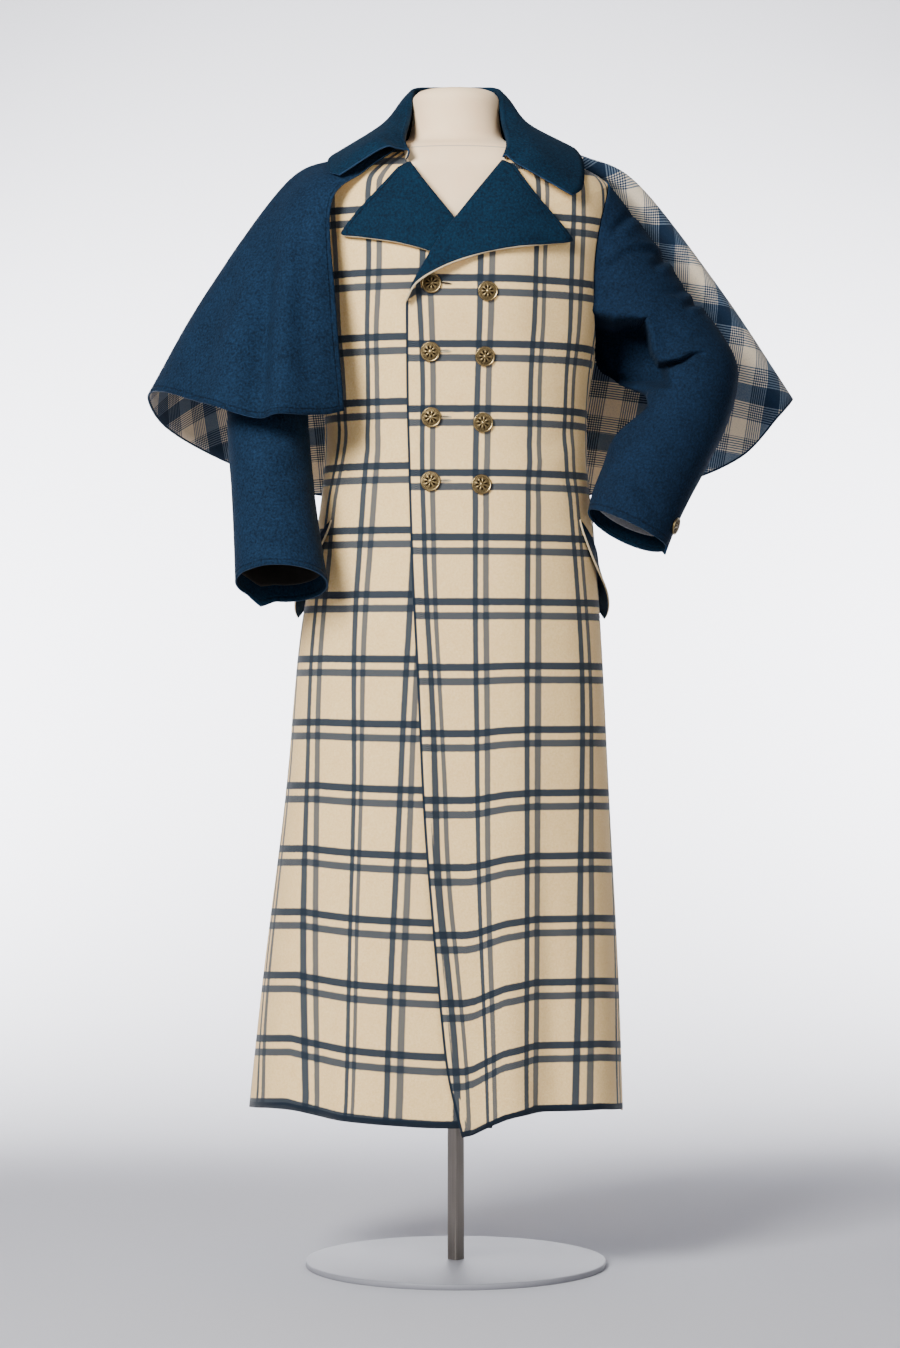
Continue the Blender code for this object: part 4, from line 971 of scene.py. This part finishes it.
# The fold inside the bent elbow, with the depth and the reach of the hollow under it at each point
ELBOW_FOLD = (
    (0.17, 1.268), (0.211, 1.253), (0.231, 1.255), (0.25, 1.255), (0.257, 1.238), (0.262, 1.214),
    (0.272, 1.199), (0.276, 1.2), (0.293, 1.202), (0.309, 1.209), (0.33, 1.21),
)
ELBOW_DEPTHS = (0.14, 0.14, 0.14, 0.13, 0.12, 0.11, 0.09, 0.03, 0.018, 0.008, 0.0)
ELBOW_WIDTHS = (0.28, 0.28, 0.27, 0.25, 0.22, 0.19, 0.12, 0.018, 0.013, 0.01, 0.008)
ELBOW_LIP = 0.006
SLEEVE_FINE, LINING_FINE = {1: 168, -1: 96}, (84, 60)     # columns and rows; the bent sleeve needs more
# Where along the sleeve the lining starts and ends
LINING_START, LINING_END = 0.62, {1: 0.91, -1: 0.94}
for sign, side in SIDES:
    fine, (columns, rows) = SLEEVE_FINE[sign], LINING_FINE
    grid, flat = tube_grid(sleeve_sections(sign, fine), fine)
    grid = press(grid, SLEEVE_CREASES[sign], sign, ring=True)
    if sign > 0:
        grid = tuck(grid, ELBOW_FOLD, ELBOW_DEPTHS, ELBOW_WIDTHS, ELBOW_LIP, sign)
    # The left sleeve's outside takes the darker copy of the blue, which is painted shade
    outer = BLUE_SHADED if sign > 0 else BLUE
    sleeve = cloth_shell(side + "_sleeve", grid, sign, (outer, BLUE_LAPEL, DARK_EDGE), ring=True)
    dress(sleeve, ["sleeve_" + side])
    inside = sleeve_sections(sign, columns, LINING_INSET)
    grid, flat = tube_grid(inside, rows, LINING_START, LINING_END[sign])
    grid = press(grid, SLEEVE_CREASES[sign], sign, ring=True)
    # The right sleeve's lining takes the darkened satin, which is painted shade
    finish = GREY_LINING if sign > 0 else SHADED_LINING
    lining = cloth_shell(side + "_sleeve_lining", grid, sign, 3 * (finish,), wall=LINING_WALL, ring=True)
    dress(lining, ["lining_" + side])

# %% [markdown]
# ## Collar
# The collar stands up inside the neck, rolls over and falls to its points. It is given by stations from
# the front end round to the centre back, each with its roll line, the middle of the fall and its edge.

# %% Build the collar
# Angle round the neck, then in millimetres the roll's x y z, the middle of the fall and its outer edge
COLLAR = (
    (19, 64, -98, 1470, 96, -116, 1466.5, 152, -108, 1429),
    (28, 70, -79, 1490, 112, -94, 1478, 166, -86, 1438),
    (45, 64, -40, 1522, 108, -48, 1500, 168, -46, 1464), (88, 61, -2, 1556, 98, -2, 1520, 153, 0, 1483),
    (118, 56, 36, 1573, 84, 48, 1530, 127, 66, 1483), (146, 34, 60, 1578, 48, 82, 1528, 72, 104, 1480),
    (180, 0, 68, 1579, 0, 92, 1530, 0, 116, 1480),
)
COLLAR_ROLL, COLLAR_FULL = 0.003, 0.3
COLLAR_FINE, COLLAR_MEASURED = (110, 56), 40     # stations and points on each; the column for the plaid's run
COLLAR_SEAT = (0.005, 0.0036, 0.0026, 0.0026, 0.0026, 0.0026, 0.0026)
COLLAR_TILT = (0.06, 0.05, 0.02, 0.0, 0.0, 0.0, 0.0)
COLLAR_PACKED = (0.0, 0.0, 0.003, 0.008, 0.008, 0.005, 0.0)
# The wearer's left end of the fall hangs lower: drop of the line above the middle, the middle, the edge
COLLAR_DROOP = ((0.009, 0.018, 0.008), (0.004, 0.009, 0.004)) + 5 * ((0.0, 0.0, 0.0),)


def fine_spokes(spokes, across, down):
    # Spokes and the points on them, filled in both ways, and how far down its spoke each point lies
    spokes = np.array(spokes)
    smooth = np.array([along(spokes, k / across) for k in range(across + 1)]).swapaxes(0, 1)
    fine = np.array([along(smooth, j / down) for j in range(down + 1)]).swapaxes(0, 1)
    drop = np.cumsum(step_lengths(fine, 1), axis=1)
    return fine, np.concatenate([np.zeros((across + 1, 1)), drop], axis=1)


def collar_station(sign, row, seat, tilt, packed, droop):
    neck = float(table_value(NECKLINE, row[0]))
    base = body_plain(sign * row[0], neck) + np.array((0.0, 0.0, seat))
    roll, middle, edge = np.array(row[1:]).reshape(3, 3) / 1000 * np.array((sign, 1, 1))
    away = unit((middle - roll) * np.array((1.0, 1.0, 0.0)))
    inner = roll - away * COLLAR_ROLL - np.array((0.0, 0.0, COLLAR_ROLL))
    outer = roll + away * COLLAR_ROLL - np.array((0.0, 0.0, COLLAR_ROLL / 2))
    stand = base * 0.5 + inner * 0.5
    over = roll * 0.6 + middle * 0.4
    over[2] = roll[2] - COLLAR_FULL * (roll[2] - middle[2])
    for point in (inner, roll, outer, over, middle, edge):
        point[2] -= tilt * point[0]
    if sign > 0:
        edge[2] += packed
        for point, fall in zip((over, middle, edge), droop):
            point[2] -= fall
    return [base, stand, inner, roll, outer, over, middle, edge]


def collar_grid():
    tables = (COLLAR, COLLAR_SEAT, COLLAR_TILT, COLLAR_PACKED, COLLAR_DROOP)
    right, left = [[collar_station(sign, *entry) for entry in zip(*tables)] for sign in (-1, 1)]
    fine, drop = fine_spokes(right + left[-2::-1], *COLLAR_FINE)
    round_it = np.cumsum(np.linalg.norm(np.gradient(fine[:, COLLAR_MEASURED], axis=0), axis=1))
    return with_plaid(fine, round_it[:, None] / REPEAT_ACROSS, drop / REPEAT_DOWN, 0.5, 0.5)


collar = cloth_shell("coat_collar", collar_grid(), -1, (BLUE_LAPEL, CUT_EDGE, DARK_EDGE))
dress(collar, ["collar"])

# %% [markdown]
# ## The cape
# Each half of the cape is cut as part of a ring: it hangs from the neck seam in spokes. The right half
# falls forward over the sleeve. The left half is thrown back, so it turns over along a soft roll and
# shows its checked face. Laying the spokes out flat in a fan gives the check its straight threads.

# %% Cape spokes
# Neck angle, then in millimetres the x y z of the shoulder, the middle and the hem
CAPE_RIGHT = (
    (-34, -162, -118, 1400, -156, -142, 1270, -144.5, -156, 1127.5),
    (-44, -178, -115, 1402, -185, -150, 1270, -170, -174, 1121.5),
    (-56, -192, -105, 1410, -220, -154, 1270, -218, -196, 1120.5),
    (-68, -206, -86, 1417, -258, -136, 1275, -274, -178, 1122),
    (-78, -216, -56, 1428, -290, -98, 1285, -324, -144, 1138),
    (-87, -224, -18, 1440, -318, -48, 1300, -390, -64, 1160),
    (-96, -224, 20, 1441, -334, 8, 1290, -411, 12, 1154),
    (-108, -212, 62, 1434, -318, 74, 1280, -392, 96, 1121),
    (-124, -182, 102, 1424, -268, 134, 1260, -324, 184, 1084),
    (-144, -124, 130, 1422, -162, 172, 1250, -212, 232, 1042),
    (-162, -60, 142, 1424, -80, 182, 1245, -98, 234, 1028),
    (-179.8, -0.4, 144, 1424, -0.4, 186, 1245, -0.4, 244, 1024),
)
CAPE_LEFT_UNDER = (
    (179.8, 0.4, 144, 1424, 0.4, 186, 1245, 0.4, 244, 1024),
    (162, 60, 140, 1424, 80, 178, 1245, 98, 230, 1028),
    (144, 116, 126, 1424, 160, 160, 1250, 198, 204, 1038),
    (126, 164, 96, 1428, 234, 128, 1265, 300, 164, 1048),
    (112, 204, 68, 1434, 300, 98, 1278, 390, 132, 1084),
    (101, 234, 46, 1434, 350, 78, 1290, 440, 106, 1138),
)
CAPE_LEFT_OVER = (
    (101, 230, 70, 1448, 348, 106, 1308, 438, 148, 1152),
    (114, 196, 94, 1448, 290, 132, 1290, 376, 180, 1108),
    (130, 156, 122, 1442, 214, 164, 1270, 276, 214, 1078),
    (146, 110, 150, 1438, 150, 190, 1260, 180, 244, 1080),
)
CAPE_TURN = (92, 247, 54, 1446, 364, 90, 1302, 461, 126, 1164)
# How far each layer starts below the neck seam: lying flat, turned over, at the turn
SEAM_BELOW, OVER_BELOW, TURN_BELOW = 0.006, 0.01, 0.008
CLOTH_STEP = WALL + 0.0006
NECK_RADIUS = 0.11


def cape_spoke(row, below, lift, full=0.58):
    neck = float(table_value(NECKLINE, abs(row[0]))) - below
    first = body_plain(row[0], neck) + body_normal(row[0], neck) * lift
    rest = np.array(row[1:]).reshape(3, 3) / 1000
    over = first * 0.5 + rest[0] * 0.5
    over[2] = rest[0][2] + full * (first[2] - rest[0][2])
    return [first, over, *rest]


def build_cape(sign, side, spokes, across):
    fine, drop = fine_spokes(spokes, across, CAPE_ROWS)
    radius = NECK_RADIUS + drop[:, -1].mean()
    fan = run_up(step_lengths(fine[:, -1]))[:, None] / radius
    away = NECK_RADIUS + drop
    edge = (fan[-1] - fan if sign > 0 else fan) * radius
    grid = with_plaid(fine, away * np.sin(fan), away * np.cos(fan), edge, drop[:, -1:] - drop)
    grid = press(grid, CAPE_CREASES[sign], -1)
    cape = cloth_shell(side + "_cape", grid, -1, (BLUE, CHECK, DARK_EDGE))
    dress(cape, ["cape_" + side])


print("cape is drawn by", len(CAPE_RIGHT) + len(CAPE_LEFT_UNDER) + len(CAPE_LEFT_OVER) + 1, "spokes")

# %% Build the cape's halves
CAPE_CREASES = {
    -1: (
        (((-238, 1375), (-248, 1320), (-254, 1240), (-258, 1060)), 20, 19, 6, 1),
        (((-278, 1325), (-318, 1250), (-345, 1120)), 6, 20, 3, 1),
        (((-200, 1400), (-205, 1300), (-190, 1130)), 3, 14, 2, 1),
        (((-190, 1400), (-260, 1240), (-290, 1100)), 6, 18, 6, -1),
        (((-80, 1400), (-120, 1220), (-150, 1050)), 6, 18, 6, -1),
    ),
    1: (
        (((270, 1330), (330, 1220), (376, 1120)), 4, 11, 3, 1),
        (((220, 1330), (268, 1200), (300, 1080)), 4, 13, 3, 1),
        (((220, 1400), (290, 1260), (340, 1130)), 3, 13, 2.4, -1),
        (((60, 1400), (90, 1220), (110, 1060)), 5, 18, 5, -1),
    ),
}
CAPE_ROWS, RIGHT_COLUMNS, LEFT_COLUMNS = 60, 132, 150
spokes = [cape_spoke(row, SEAM_BELOW, CLOTH_STEP + 0.0006) for row in CAPE_RIGHT]
build_cape(-1, "right", spokes, RIGHT_COLUMNS)
spokes = [cape_spoke(row, SEAM_BELOW, CLOTH_STEP + 0.0006, 0.5) for row in CAPE_LEFT_UNDER]
spokes.append(cape_spoke(CAPE_TURN, TURN_BELOW, 2 * CLOTH_STEP + 0.002, 0.66))
spokes += [cape_spoke(row, OVER_BELOW, 3 * CLOTH_STEP + 0.0025) for row in CAPE_LEFT_OVER]
build_cape(1, "left", spokes, LEFT_COLUMNS)

# %% [markdown]
# ## Pocket flaps
# The flaps slant down toward the back. They gape a little at their lower edges, and their cut edge
# shows as a thin cream line.

# %% Build the flaps
# Angle and height at the front end and at the back end
FLAP_FRONT, FLAP_BACK = (60.0, 0.99), (106.0, 0.905)
FLAP_DROP, FLAP_GAPE, FLAP_CORNERS, FLAP_SLANT = 0.05, (0.003, 0.016), (0.55, 0.12), 2.0
FLAP_PLAID = (2.4, 0.6)     # repeats of the plaid along it and down it


def flap_grid(sign, across=48, down=24):
    grid = []
    for t in np.linspace(0, 1, across + 1):
        angle, top = [a + (b - a) * t for a, b in zip(FLAP_FRONT, FLAP_BACK)]
        row = []
        for s in np.linspace(0, 1, down + 1):
            drop = FLAP_DROP * (1.0 - FLAP_CORNERS[int(t > 0.5)] * abs(2 * t - 1) ** 3)
            height = top - drop * s
            gape = (FLAP_GAPE[0] + (FLAP_GAPE[1] - FLAP_GAPE[0]) * t) * s * s
            out = CLOTH_STEP + 0.0002 + gape + skirt_fold(sign * angle, height)
            normal = body_normal(sign * angle, height)
            place = body_plain(sign * (angle + FLAP_SLANT * s), height) + normal * out
            row.append([*place, t * FLAP_PLAID[0], s * FLAP_PLAID[1], 0.5, 0.5])
        grid.append(row)
    return np.array(grid)


for sign, side in SIDES:
    flap = cloth_shell(side + "_pocket_flap", flap_grid(sign), sign, (BLUE, BLUE_LAPEL, CUT_EDGE))
    dress(flap, ["flap_" + side])

# %% [markdown]
# ## Buttons
# The buttons are stamped brass with a plain rim and a raised generic pattern, eight petals and a
# ring of grains, darkened in its hollows. Each one is a round grid whose height follows a rule, and an
# attribute keeps how deep each point lies, so that the finish can put the dark patina there.

# %% Stamped brass with patina
def stamped_brass(name):
    made, tree, shader, where = start_finish(name, Metallic=1.0)
    depth = add(tree, "ShaderNodeAttribute", out="Fac", attribute_name="hollow")
    share = add(tree, "MULTIPLY_ADD", noise(tree, where, 420.0, 3.0), 0.5, depth)
    share = add(tree, "ShaderNodeMapRange", share, 0.45, 1.0, 0.0, 1.0)
    set_inputs(tree, shader, {"Base Color": blend(tree, share, "8B7752", "1B140D"),
                              "Roughness": add(tree, "ShaderNodeMapRange", share, 0.0, 1.0, 0.3, 0.75)})
    return made


BRASS = stamped_brass("stamped brass with dark patina")
RINGS, AROUND, PETALS, GRAINS = 34, 72, 8, 28
FIELD_END, RIM_START = 0.86, 0.975     # shares of the radius


def ring_points(half, deep, height, turns):
    return np.stack([half * np.sin(turns), -deep * np.cos(turns), 0 * turns + height], axis=-1)


def button_mesh(name, radius):
    share = np.linspace(0, 1, RINGS)[:, None]
    turn = np.linspace(0, 2 * math.pi, AROUND, endpoint=False)
    petals = np.cos(PETALS * turn) * hump(share - 0.42, 0.16)
    grains = np.cos(GRAINS * turn) * hump(share - 0.74, 0.05)
    field = share < FIELD_END
    pattern = (0.045 * petals + 0.035 * grains + 0.06 * hump(share, 0.13)) * field
    top = 0.3 - 0.1 * share**2 + pattern + 0.055 * hump(share - 0.93, 0.045)
    top = np.where(share > RIM_START, 0.2, top)
    hollow = np.clip(0.55 - pattern * 9.0, 0, 1) * field
    # The face, and under it the edge and the rim of the plain underside
    rows = [(share[r, 0], top[r]) for r in range(1, RINGS)] + [(1.0, 0.1), (FIELD_END, 0.0)]
    points = [[(0, 0, radius * top[0, 0])]]
    for size, rise in rows:
        circle = [np.cos(turn) * size, np.sin(turn) * size, 0 * turn + rise]
        points.append(radius * np.stack(circle, axis=-1))
    faces = [(0, 1 + c, 1 + (c + 1) % AROUND) for c in range(AROUND)]
    faces += ring_faces(RINGS + 1, AROUND, 1)
    faces.append([1 + RINGS * AROUND + c for c in range(AROUND)][::-1])
    mesh = new_mesh(name, np.concatenate(points), faces)
    depth = np.zeros(len(mesh.vertices), np.float32)
    depth[1:1 + (RINGS - 1) * AROUND] = hollow[1:].ravel()
    mesh.attributes.new("hollow", "FLOAT", "POINT").data.foreach_set("value", depth)
    return mesh


def ring_faces(rings, around, start=0):
    corners = ((0, 0), (1, 0), (1, 1), (0, 1))
    return [tuple(start + (r + down) * around + (c + on) % around for down, on in corners)
            for r in range(rings - 1) for c in range(around)]


BUTTON_ROWS = {"right": (1.293, 1.206, 1.121, 1.037), "left": (1.283, 1.2, 1.114, 1.033)}
BUTTON_COLUMNS = {"right": (-0.0308, -0.0326, -0.0314, -0.0323), "left": (0.04, 0.037, 0.0345, 0.0325)}
BUTTON_SEAT = {"right": (0.0003, 0.0008, 0.0013, 0.0008), "left": (0.0004, 0.0003, 0.001, 0.0009)}
BUTTON_RADIUS, CUFF_BUTTON_RADIUS = 0.0129, 0.0115


def set_button(name, centre, normal, radius, spin):
    mesh = button_mesh(name, radius)
    turned = Vector(normal).to_track_quat("Z", "Y").to_matrix().to_4x4()
    mesh.transform(Matrix.Translation(Vector(centre)) @ turned @ Matrix.Rotation(spin, 4, "Z"))
    button = finish_piece(name, mesh, (BRASS,))
    dress(button, [name])


for side in ("right", "left"):
    for k, (x, height, seat) in enumerate(zip(BUTTON_COLUMNS[side], BUTTON_ROWS[side], BUTTON_SEAT[side])):
        angle = angle_at(x, height)
        out = overlap_step(x, height) + WALL / 2 + seat
        set_button("button_%s_%d" % (side, k + 1), body_point(angle, height, out),
                   body_normal(angle, height), BUTTON_RADIUS, 0.7 * k)

# %% Cuff buttons
# Seat on the cloth, turn round the arm in degrees, place along the sleeve
CUFF_BUTTONS = {1: (0.0006, 20, 0.9), -1: (-0.0003, 330, 0.93)}
for sign, side in SIDES:
    seat, turn, place = CUFF_BUTTONS[sign]
    sections = sleeve_sections(sign, 360)
    ring = along(sections, place)
    normal = unit(np.cross(ring[turn + 4] - ring[turn - 4],
                           along(sections, place + 0.02)[turn] - along(sections, place - 0.02)[turn]))
    if np.dot(normal, ring[turn] - ring.mean(axis=0)) < 0:
        normal = -normal
    centre = ring[turn] + normal * (WALL / 2 + seat)
    set_button("button_cuff_" + side, centre, normal, CUFF_BUTTON_RADIUS, 0.3)

# %% [markdown]
# ## Buttonholes
# A buttonhole is a slit whose two lips are overcast with thread, stitch beside stitch. Stitches repeat
# along a path, which is what Geometry Nodes are for: the tree takes the path round the slit, puts a
# point at every stitch, and sets a short thread across it.

# %% Stitch tree
THREAD = plain_cloth("buttonhole thread, cream silk", "B7A27E", "E6D8BC", 0.6, 1200.0)
SLIT = plain_cloth("slit, shaded blue wool", "120C08", "241A12", 0.95, 900.0)


def stitch_tree():
    tree = bpy.data.node_groups.new("Overcast stitches", "GeometryNodeTree")
    tree.interface.new_socket("Path", in_out="INPUT", socket_type="NodeSocketGeometry")
    for title, value in (("Spacing", 0.0011), ("Thread radius", 0.00035), ("Stitch length", 0.0022)):
        tree.interface.new_socket(title, in_out="INPUT", socket_type="NodeSocketFloat").default_value = value
    tree.interface.new_socket("Thread", in_out="INPUT", socket_type="NodeSocketMaterial")
    tree.interface.new_socket("Stitches", in_out="OUTPUT", socket_type="NodeSocketGeometry")
    given = add(tree, "NodeGroupInput", out=None)
    path = add(tree, "GeometryNodeMeshToCurve", given["Path"])
    points = add(tree, "GeometryNodeCurveToPoints", {"Curve": path, "Length": given["Spacing"]},
                 out=None, mode="LENGTH")
    thread = add(tree, "GeometryNodeMeshCylinder", {"Vertices": 6, "Radius": given["Thread radius"],
                                                    "Depth": given["Stitch length"]})
    across = add(tree, "FunctionNodeAlignRotationToVector", {"Vector": points["Normal"]}, axis="Z")
    placed = add(tree, "GeometryNodeInstanceOnPoints", {"Points": points[0], "Instance": thread,
                                                        "Rotation": across})
    real = add(tree, "GeometryNodeRealizeInstances", placed)
    dyed = add(tree, "GeometryNodeSetMaterial", {"Geometry": real, "Material": given["Thread"]})
    add(tree, "NodeGroupOutput", dyed, out=None)
    return tree


STITCHES = stitch_tree()
print("stitch tree has", len(STITCHES.nodes), "nodes")

# %% Cut and stitch the buttonholes
HOLE_LENGTH, HOLE_HALF, HOLE_STEPS = 0.0135, 0.0014, 16
HOLE_FROM_BUTTON = (0.0105, 0.001)     # from the button's centre to the hole's inner end
HOLE_SLOPES = (-0.12, -0.02, -0.04, 0.02)
PATH_OUT, SLIT_OUT, SLIT_IN = 0.0006, 0.0005, -0.0006     # off the cloth's face


def hole_loop(x, height, slope, out):
    loop = []
    for turn in [2 * math.pi * k / HOLE_STEPS for k in range(HOLE_STEPS)]:
        run = HOLE_LENGTH / 2 * (1 + math.cos(turn)) + HOLE_HALF * math.cos(turn)
        rise = slope * run + HOLE_HALF * math.sin(turn)
        loop.append(front_point(1, x + run, height + rise, WALL / 2 + out))
    return loop


path_points, path_edges, slit_points, slit_faces = [], [], [], []
for x, height, slope in zip(BUTTON_COLUMNS["right"], BUTTON_ROWS["right"], HOLE_SLOPES):
    place = (x + HOLE_FROM_BUTTON[0], height + HOLE_FROM_BUTTON[1], slope)
    start, under = len(path_points), len(slit_points)
    path_edges += [(start + i, start + (i + 1) % HOLE_STEPS) for i in range(HOLE_STEPS)]
    path_points += hole_loop(*place, PATH_OUT)
    slit_points += hole_loop(*place, SLIT_OUT) + hole_loop(*place, SLIT_IN)
    slit_faces += [range(under, under + HOLE_STEPS), range(under + HOLE_STEPS, under + 2 * HOLE_STEPS)[::-1]]
    slit_faces += ring_faces(2, HOLE_STEPS, under)
paths = into_scene("buttonhole_paths", new_mesh("buttonhole_paths", path_points, [], path_edges))
maker = paths.modifiers.new("Stitches", "NODES")
maker.node_group = STITCHES
for item in STITCHES.interface.items_tree:
    if item.name == "Thread" and item.in_out == "INPUT":
        maker[item.identifier] = THREAD
ready = paths.evaluated_get(bpy.context.evaluated_depsgraph_get())
stitched = bpy.data.meshes.new_from_object(ready)
stitched.name = "buttonhole_stitches"
bpy.data.objects.remove(paths)
stitches = finish_piece("buttonhole_stitches", stitched, ())
dress(stitches, [])
slits = finish_piece("buttonhole_slits", new_mesh("buttonhole_slits", slit_points, slit_faces), (SLIT,))
dress(slits, [])

# %% [markdown]
# ## Dress form and stand
# The form is covered in cotton jersey, a fine knit that is matt and a little pink. Its pole is a
# square steel tube brushed along its length, turned on edge, in a round plate painted pale grey.

# %% Knit jersey, brushed steel, painted plate
NECK_SEAM, SEAM_LEAN, SEAM_HALF = 1.47, 0.16, 0.0008     # height, how it drops forward, half width


def cotton_jersey(name):
    made, tree, shader, where = start_finish(name, Roughness=0.9, Specular_IOR_Level=0.25, Sheen_Weight=0.15)
    tint = blend(tree, noise(tree, where, 22.0, 2.0), "F6CFA2", "FFE4BC")
    # The neck is a knit tube of its own, and its seam is a shallow line round the base of the neck
    height = add(tree, "ShaderNodeSeparateXYZ", where, out=None)
    seam = add(tree, "MULTIPLY_ADD", height["Y"], SEAM_LEAN, height["Z"])
    seam = add(tree, "COMPARE", seam, NECK_SEAM, SEAM_HALF)
    set_inputs(tree, shader, {"Base Color": blend(tree, seam, tint, "C3AE9A"),
                              "Normal": relief(tree, noise(tree, where, 900.0, 1.0), 0.15, 0.0003)})
    return made


def brushed_steel(name):
    made, tree, shader, where = start_finish(name, Metallic=1.0)
    stretched = add(tree, "ShaderNodeMapping", {"Vector": where, "Scale": (900.0, 900.0, 6.0)})
    strokes = noise(tree, stretched, 1.0, 2.0)
    set_inputs(tree, shader, {"Base Color": blend(tree, strokes, "7C756E", "A39B92"),
                              "Roughness": add(tree, "ShaderNodeMapRange", strokes, 0.0, 1.0, 0.26, 0.48)})
    return made


def painted_plate(name):
    made, tree, shader, where = start_finish(name, Roughness=0.5, Base_Color=linear("828288"))
    set_inputs(tree, shader, {"Normal": relief(tree, noise(tree, where, 300.0, 2.0), 0.06, 0.0003)})
    return made


JERSEY = cotton_jersey("cotton jersey cover, cream")
STEEL = brushed_steel("brushed steel tube")
PLATE = painted_plate("powder coated plate, pale grey")
print("stand finishes made")

# %% Build the form, the pole and the base
# Height, ease inside the coat
FORM_EASE = (
    (0.815, 0.062), (0.85, 0.046), (0.93, 0.034), (1.0, 0.024), (1.087, 0.017), (1.2, 0.02),
    (1.331, 0.02), (1.4, 0.016), (1.436, 0.018), (1.462, 0.0042), (1.486, 0.003),
)
FORM_NECK = ((1.5, 0.064, 0.056), (1.512, 0.06, 0.0545), (1.535, 0.0575, 0.053),
             (1.556, 0.056, 0.052), (1.562, 0.05, 0.0465), (1.565, 0.03, 0.028))


def closed_rings(name, rings, finish):
    # rings is a grid of points, closed across, capped at both ends
    rows, columns = rings.shape[:2]
    last = (rows - 1) * columns
    caps = [list(range(columns))[::-1], list(range(last, last + columns))]
    mesh = new_mesh(name, rings.reshape(-1, 3), ring_faces(rows, columns) + caps)
    piece = finish_piece(name, mesh, (finish,), solid=True)
    piece.data.set_sharp_from_angle(angle=math.radians(50))
    dress(piece, [name])


angles = np.linspace(0, 360, 97)[:-1]
turns = np.radians(angles)
rings = [body_plain(angles, height) - body_normal(angles, height) * ease for height, ease in FORM_EASE]
form_base = float(rings[0][:, 2].min())
rings[0][:, 2] = form_base
rings += [ring_points(half, deep, height, turns) for height, half, deep in FORM_NECK]
closed_rings("form_torso", fill_line(np.array(rings), [5] * (len(rings) - 2) + [3]), JERSEY)

BASE_RADIUS, BASE_THICK, POLE_SIDE, GAP = 0.2, 0.008, 0.0165, 0.0003
profile = ((0.0005, 0.0), (BASE_RADIUS - 0.001, 0.0), (BASE_RADIUS, 0.001),
           (BASE_RADIUS, BASE_THICK - 0.0015),
           (BASE_RADIUS - 0.0006, BASE_THICK - 0.0004), (BASE_RADIUS - 0.002, BASE_THICK),
           (0.03, BASE_THICK), (0.0005, BASE_THICK))
plate = np.array([ring_points(radius, radius, height, turns) for radius, height in profile])
closed_rings("stand_base", plate, PLATE)

POLE_ARC = 0.0016     # radius of the tube's rounded corners
reach = POLE_SIDE / math.sqrt(2) - POLE_ARC * 1.4142
outline = []
for heading in (0, 90, 180, 270):
    for lean in (-45, -15, 15, 45):
        away, turn = math.radians(heading), math.radians(heading) + math.radians(lean)
        outline.append((reach * math.sin(away) + POLE_ARC * math.sin(turn),
                        -reach * math.cos(away) - POLE_ARC * math.cos(turn)))
levels = (BASE_THICK + GAP, form_base - GAP)
pole = np.array([[(x, y, level) for x, y in outline] for level in levels])
closed_rings("stand_pole", pole, STEEL)

# %% [markdown]
# ## Camera, floor and light
# The photograph was taken level from the front, at hip height, through a long lens. The floor sweeps up
# behind the coat, so there is no horizon. Two large soft boxes and a pale sky give soft studio light, and
# two more boxes behind the coat brighten the paper alone.

# %% Camera
camera = into_scene("camera", bpy.data.cameras.new("camera"))
camera.data.lens, camera.data.sensor_width = 96.14, 36.0
camera.location = (-0.0077, -4.8, 0.788)
camera.rotation_euler = (math.radians(90), 0, 0)
bpy.context.scene.camera = camera
print("camera stands", -camera.location.y, "m before the pole")

# %% Floor and lights
SWEEP_START, SWEEP_BEND, SWEEP_WIDE, SWEEP_TOP = 1.2, 1.6, 14.0, 6.0


def sweep_floor():
    bends = [(SWEEP_START + SWEEP_BEND * math.sin(a), SWEEP_BEND - SWEEP_BEND * math.cos(a))
             for a in np.linspace(0.1, math.pi / 2, 14)]
    line = [(-SWEEP_WIDE, 0.0), (SWEEP_START, 0.0), *bends, (SWEEP_START + SWEEP_BEND, SWEEP_TOP)]
    points = [(x, y, z) for y, z in line for x in (-SWEEP_WIDE, SWEEP_WIDE)]
    mesh = new_mesh("floor", points, [(2 * k, 2 * k + 1, 2 * k + 3, 2 * k + 2) for k in range(len(line) - 1)])
    mesh.shade_smooth()
    finish, tree, shader, _ = start_finish("matt paper sweep, pale grey", Roughness=0.95,
                                           Specular_IOR_Level=0.1, Base_Color=linear("B8B8BE"))
    # The paper shows only from its front, so the coat can be looked at from behind as well
    behind = add(tree, "ShaderNodeNewGeometry", out="Backfacing")
    clear = add(tree, "ShaderNodeBsdfTransparent")
    paper = add(tree, "ShaderNodeMixShader", behind, shader.outputs[0], clear)
    set_inputs(tree, tree.nodes["Material Output"], {"Surface": paper})
    mesh.materials.append(finish)
    into_scene("floor", mesh)


def soft_box(name, place, aim, size, power, spread=180.0):
    lamp = bpy.data.lights.new(name, "AREA")
    lamp.shape, lamp.size, lamp.energy = "SQUARE", size, power
    lamp.spread = math.radians(spread)
    box = into_scene(name, lamp)
    box.location = place
    box.rotation_euler = (Vector(aim) - Vector(place)).to_track_quat("-Z", "Y").to_euler()


sweep_floor()
soft_box("key", (-1.9, -3.1, 2.8), (0.0, 0.0, 1.25), 1.4, 350.0)
soft_box("fill", (2.4, -4.4, 1.9), (0.0, 0.0, 1.0), 2.0, 70.0)
# These two light the paper alone, as their light doesn't spread to the coat
for sign, side in ((-1, "left"), (1, "right")):
    soft_box("backdrop " + side, (2.4 * sign, 1.2, 0.9), (0.0, 2.8, 0.8), 1.2, 165.0, 80.0)
world = bpy.data.worlds.new("pale studio")
bpy.context.scene.world = world
world.use_nodes = True
set_inputs(world.node_tree, world.node_tree.nodes["Background"], {0: linear("E4E8EE"), 1: 0.17})
print("camera and lights set")
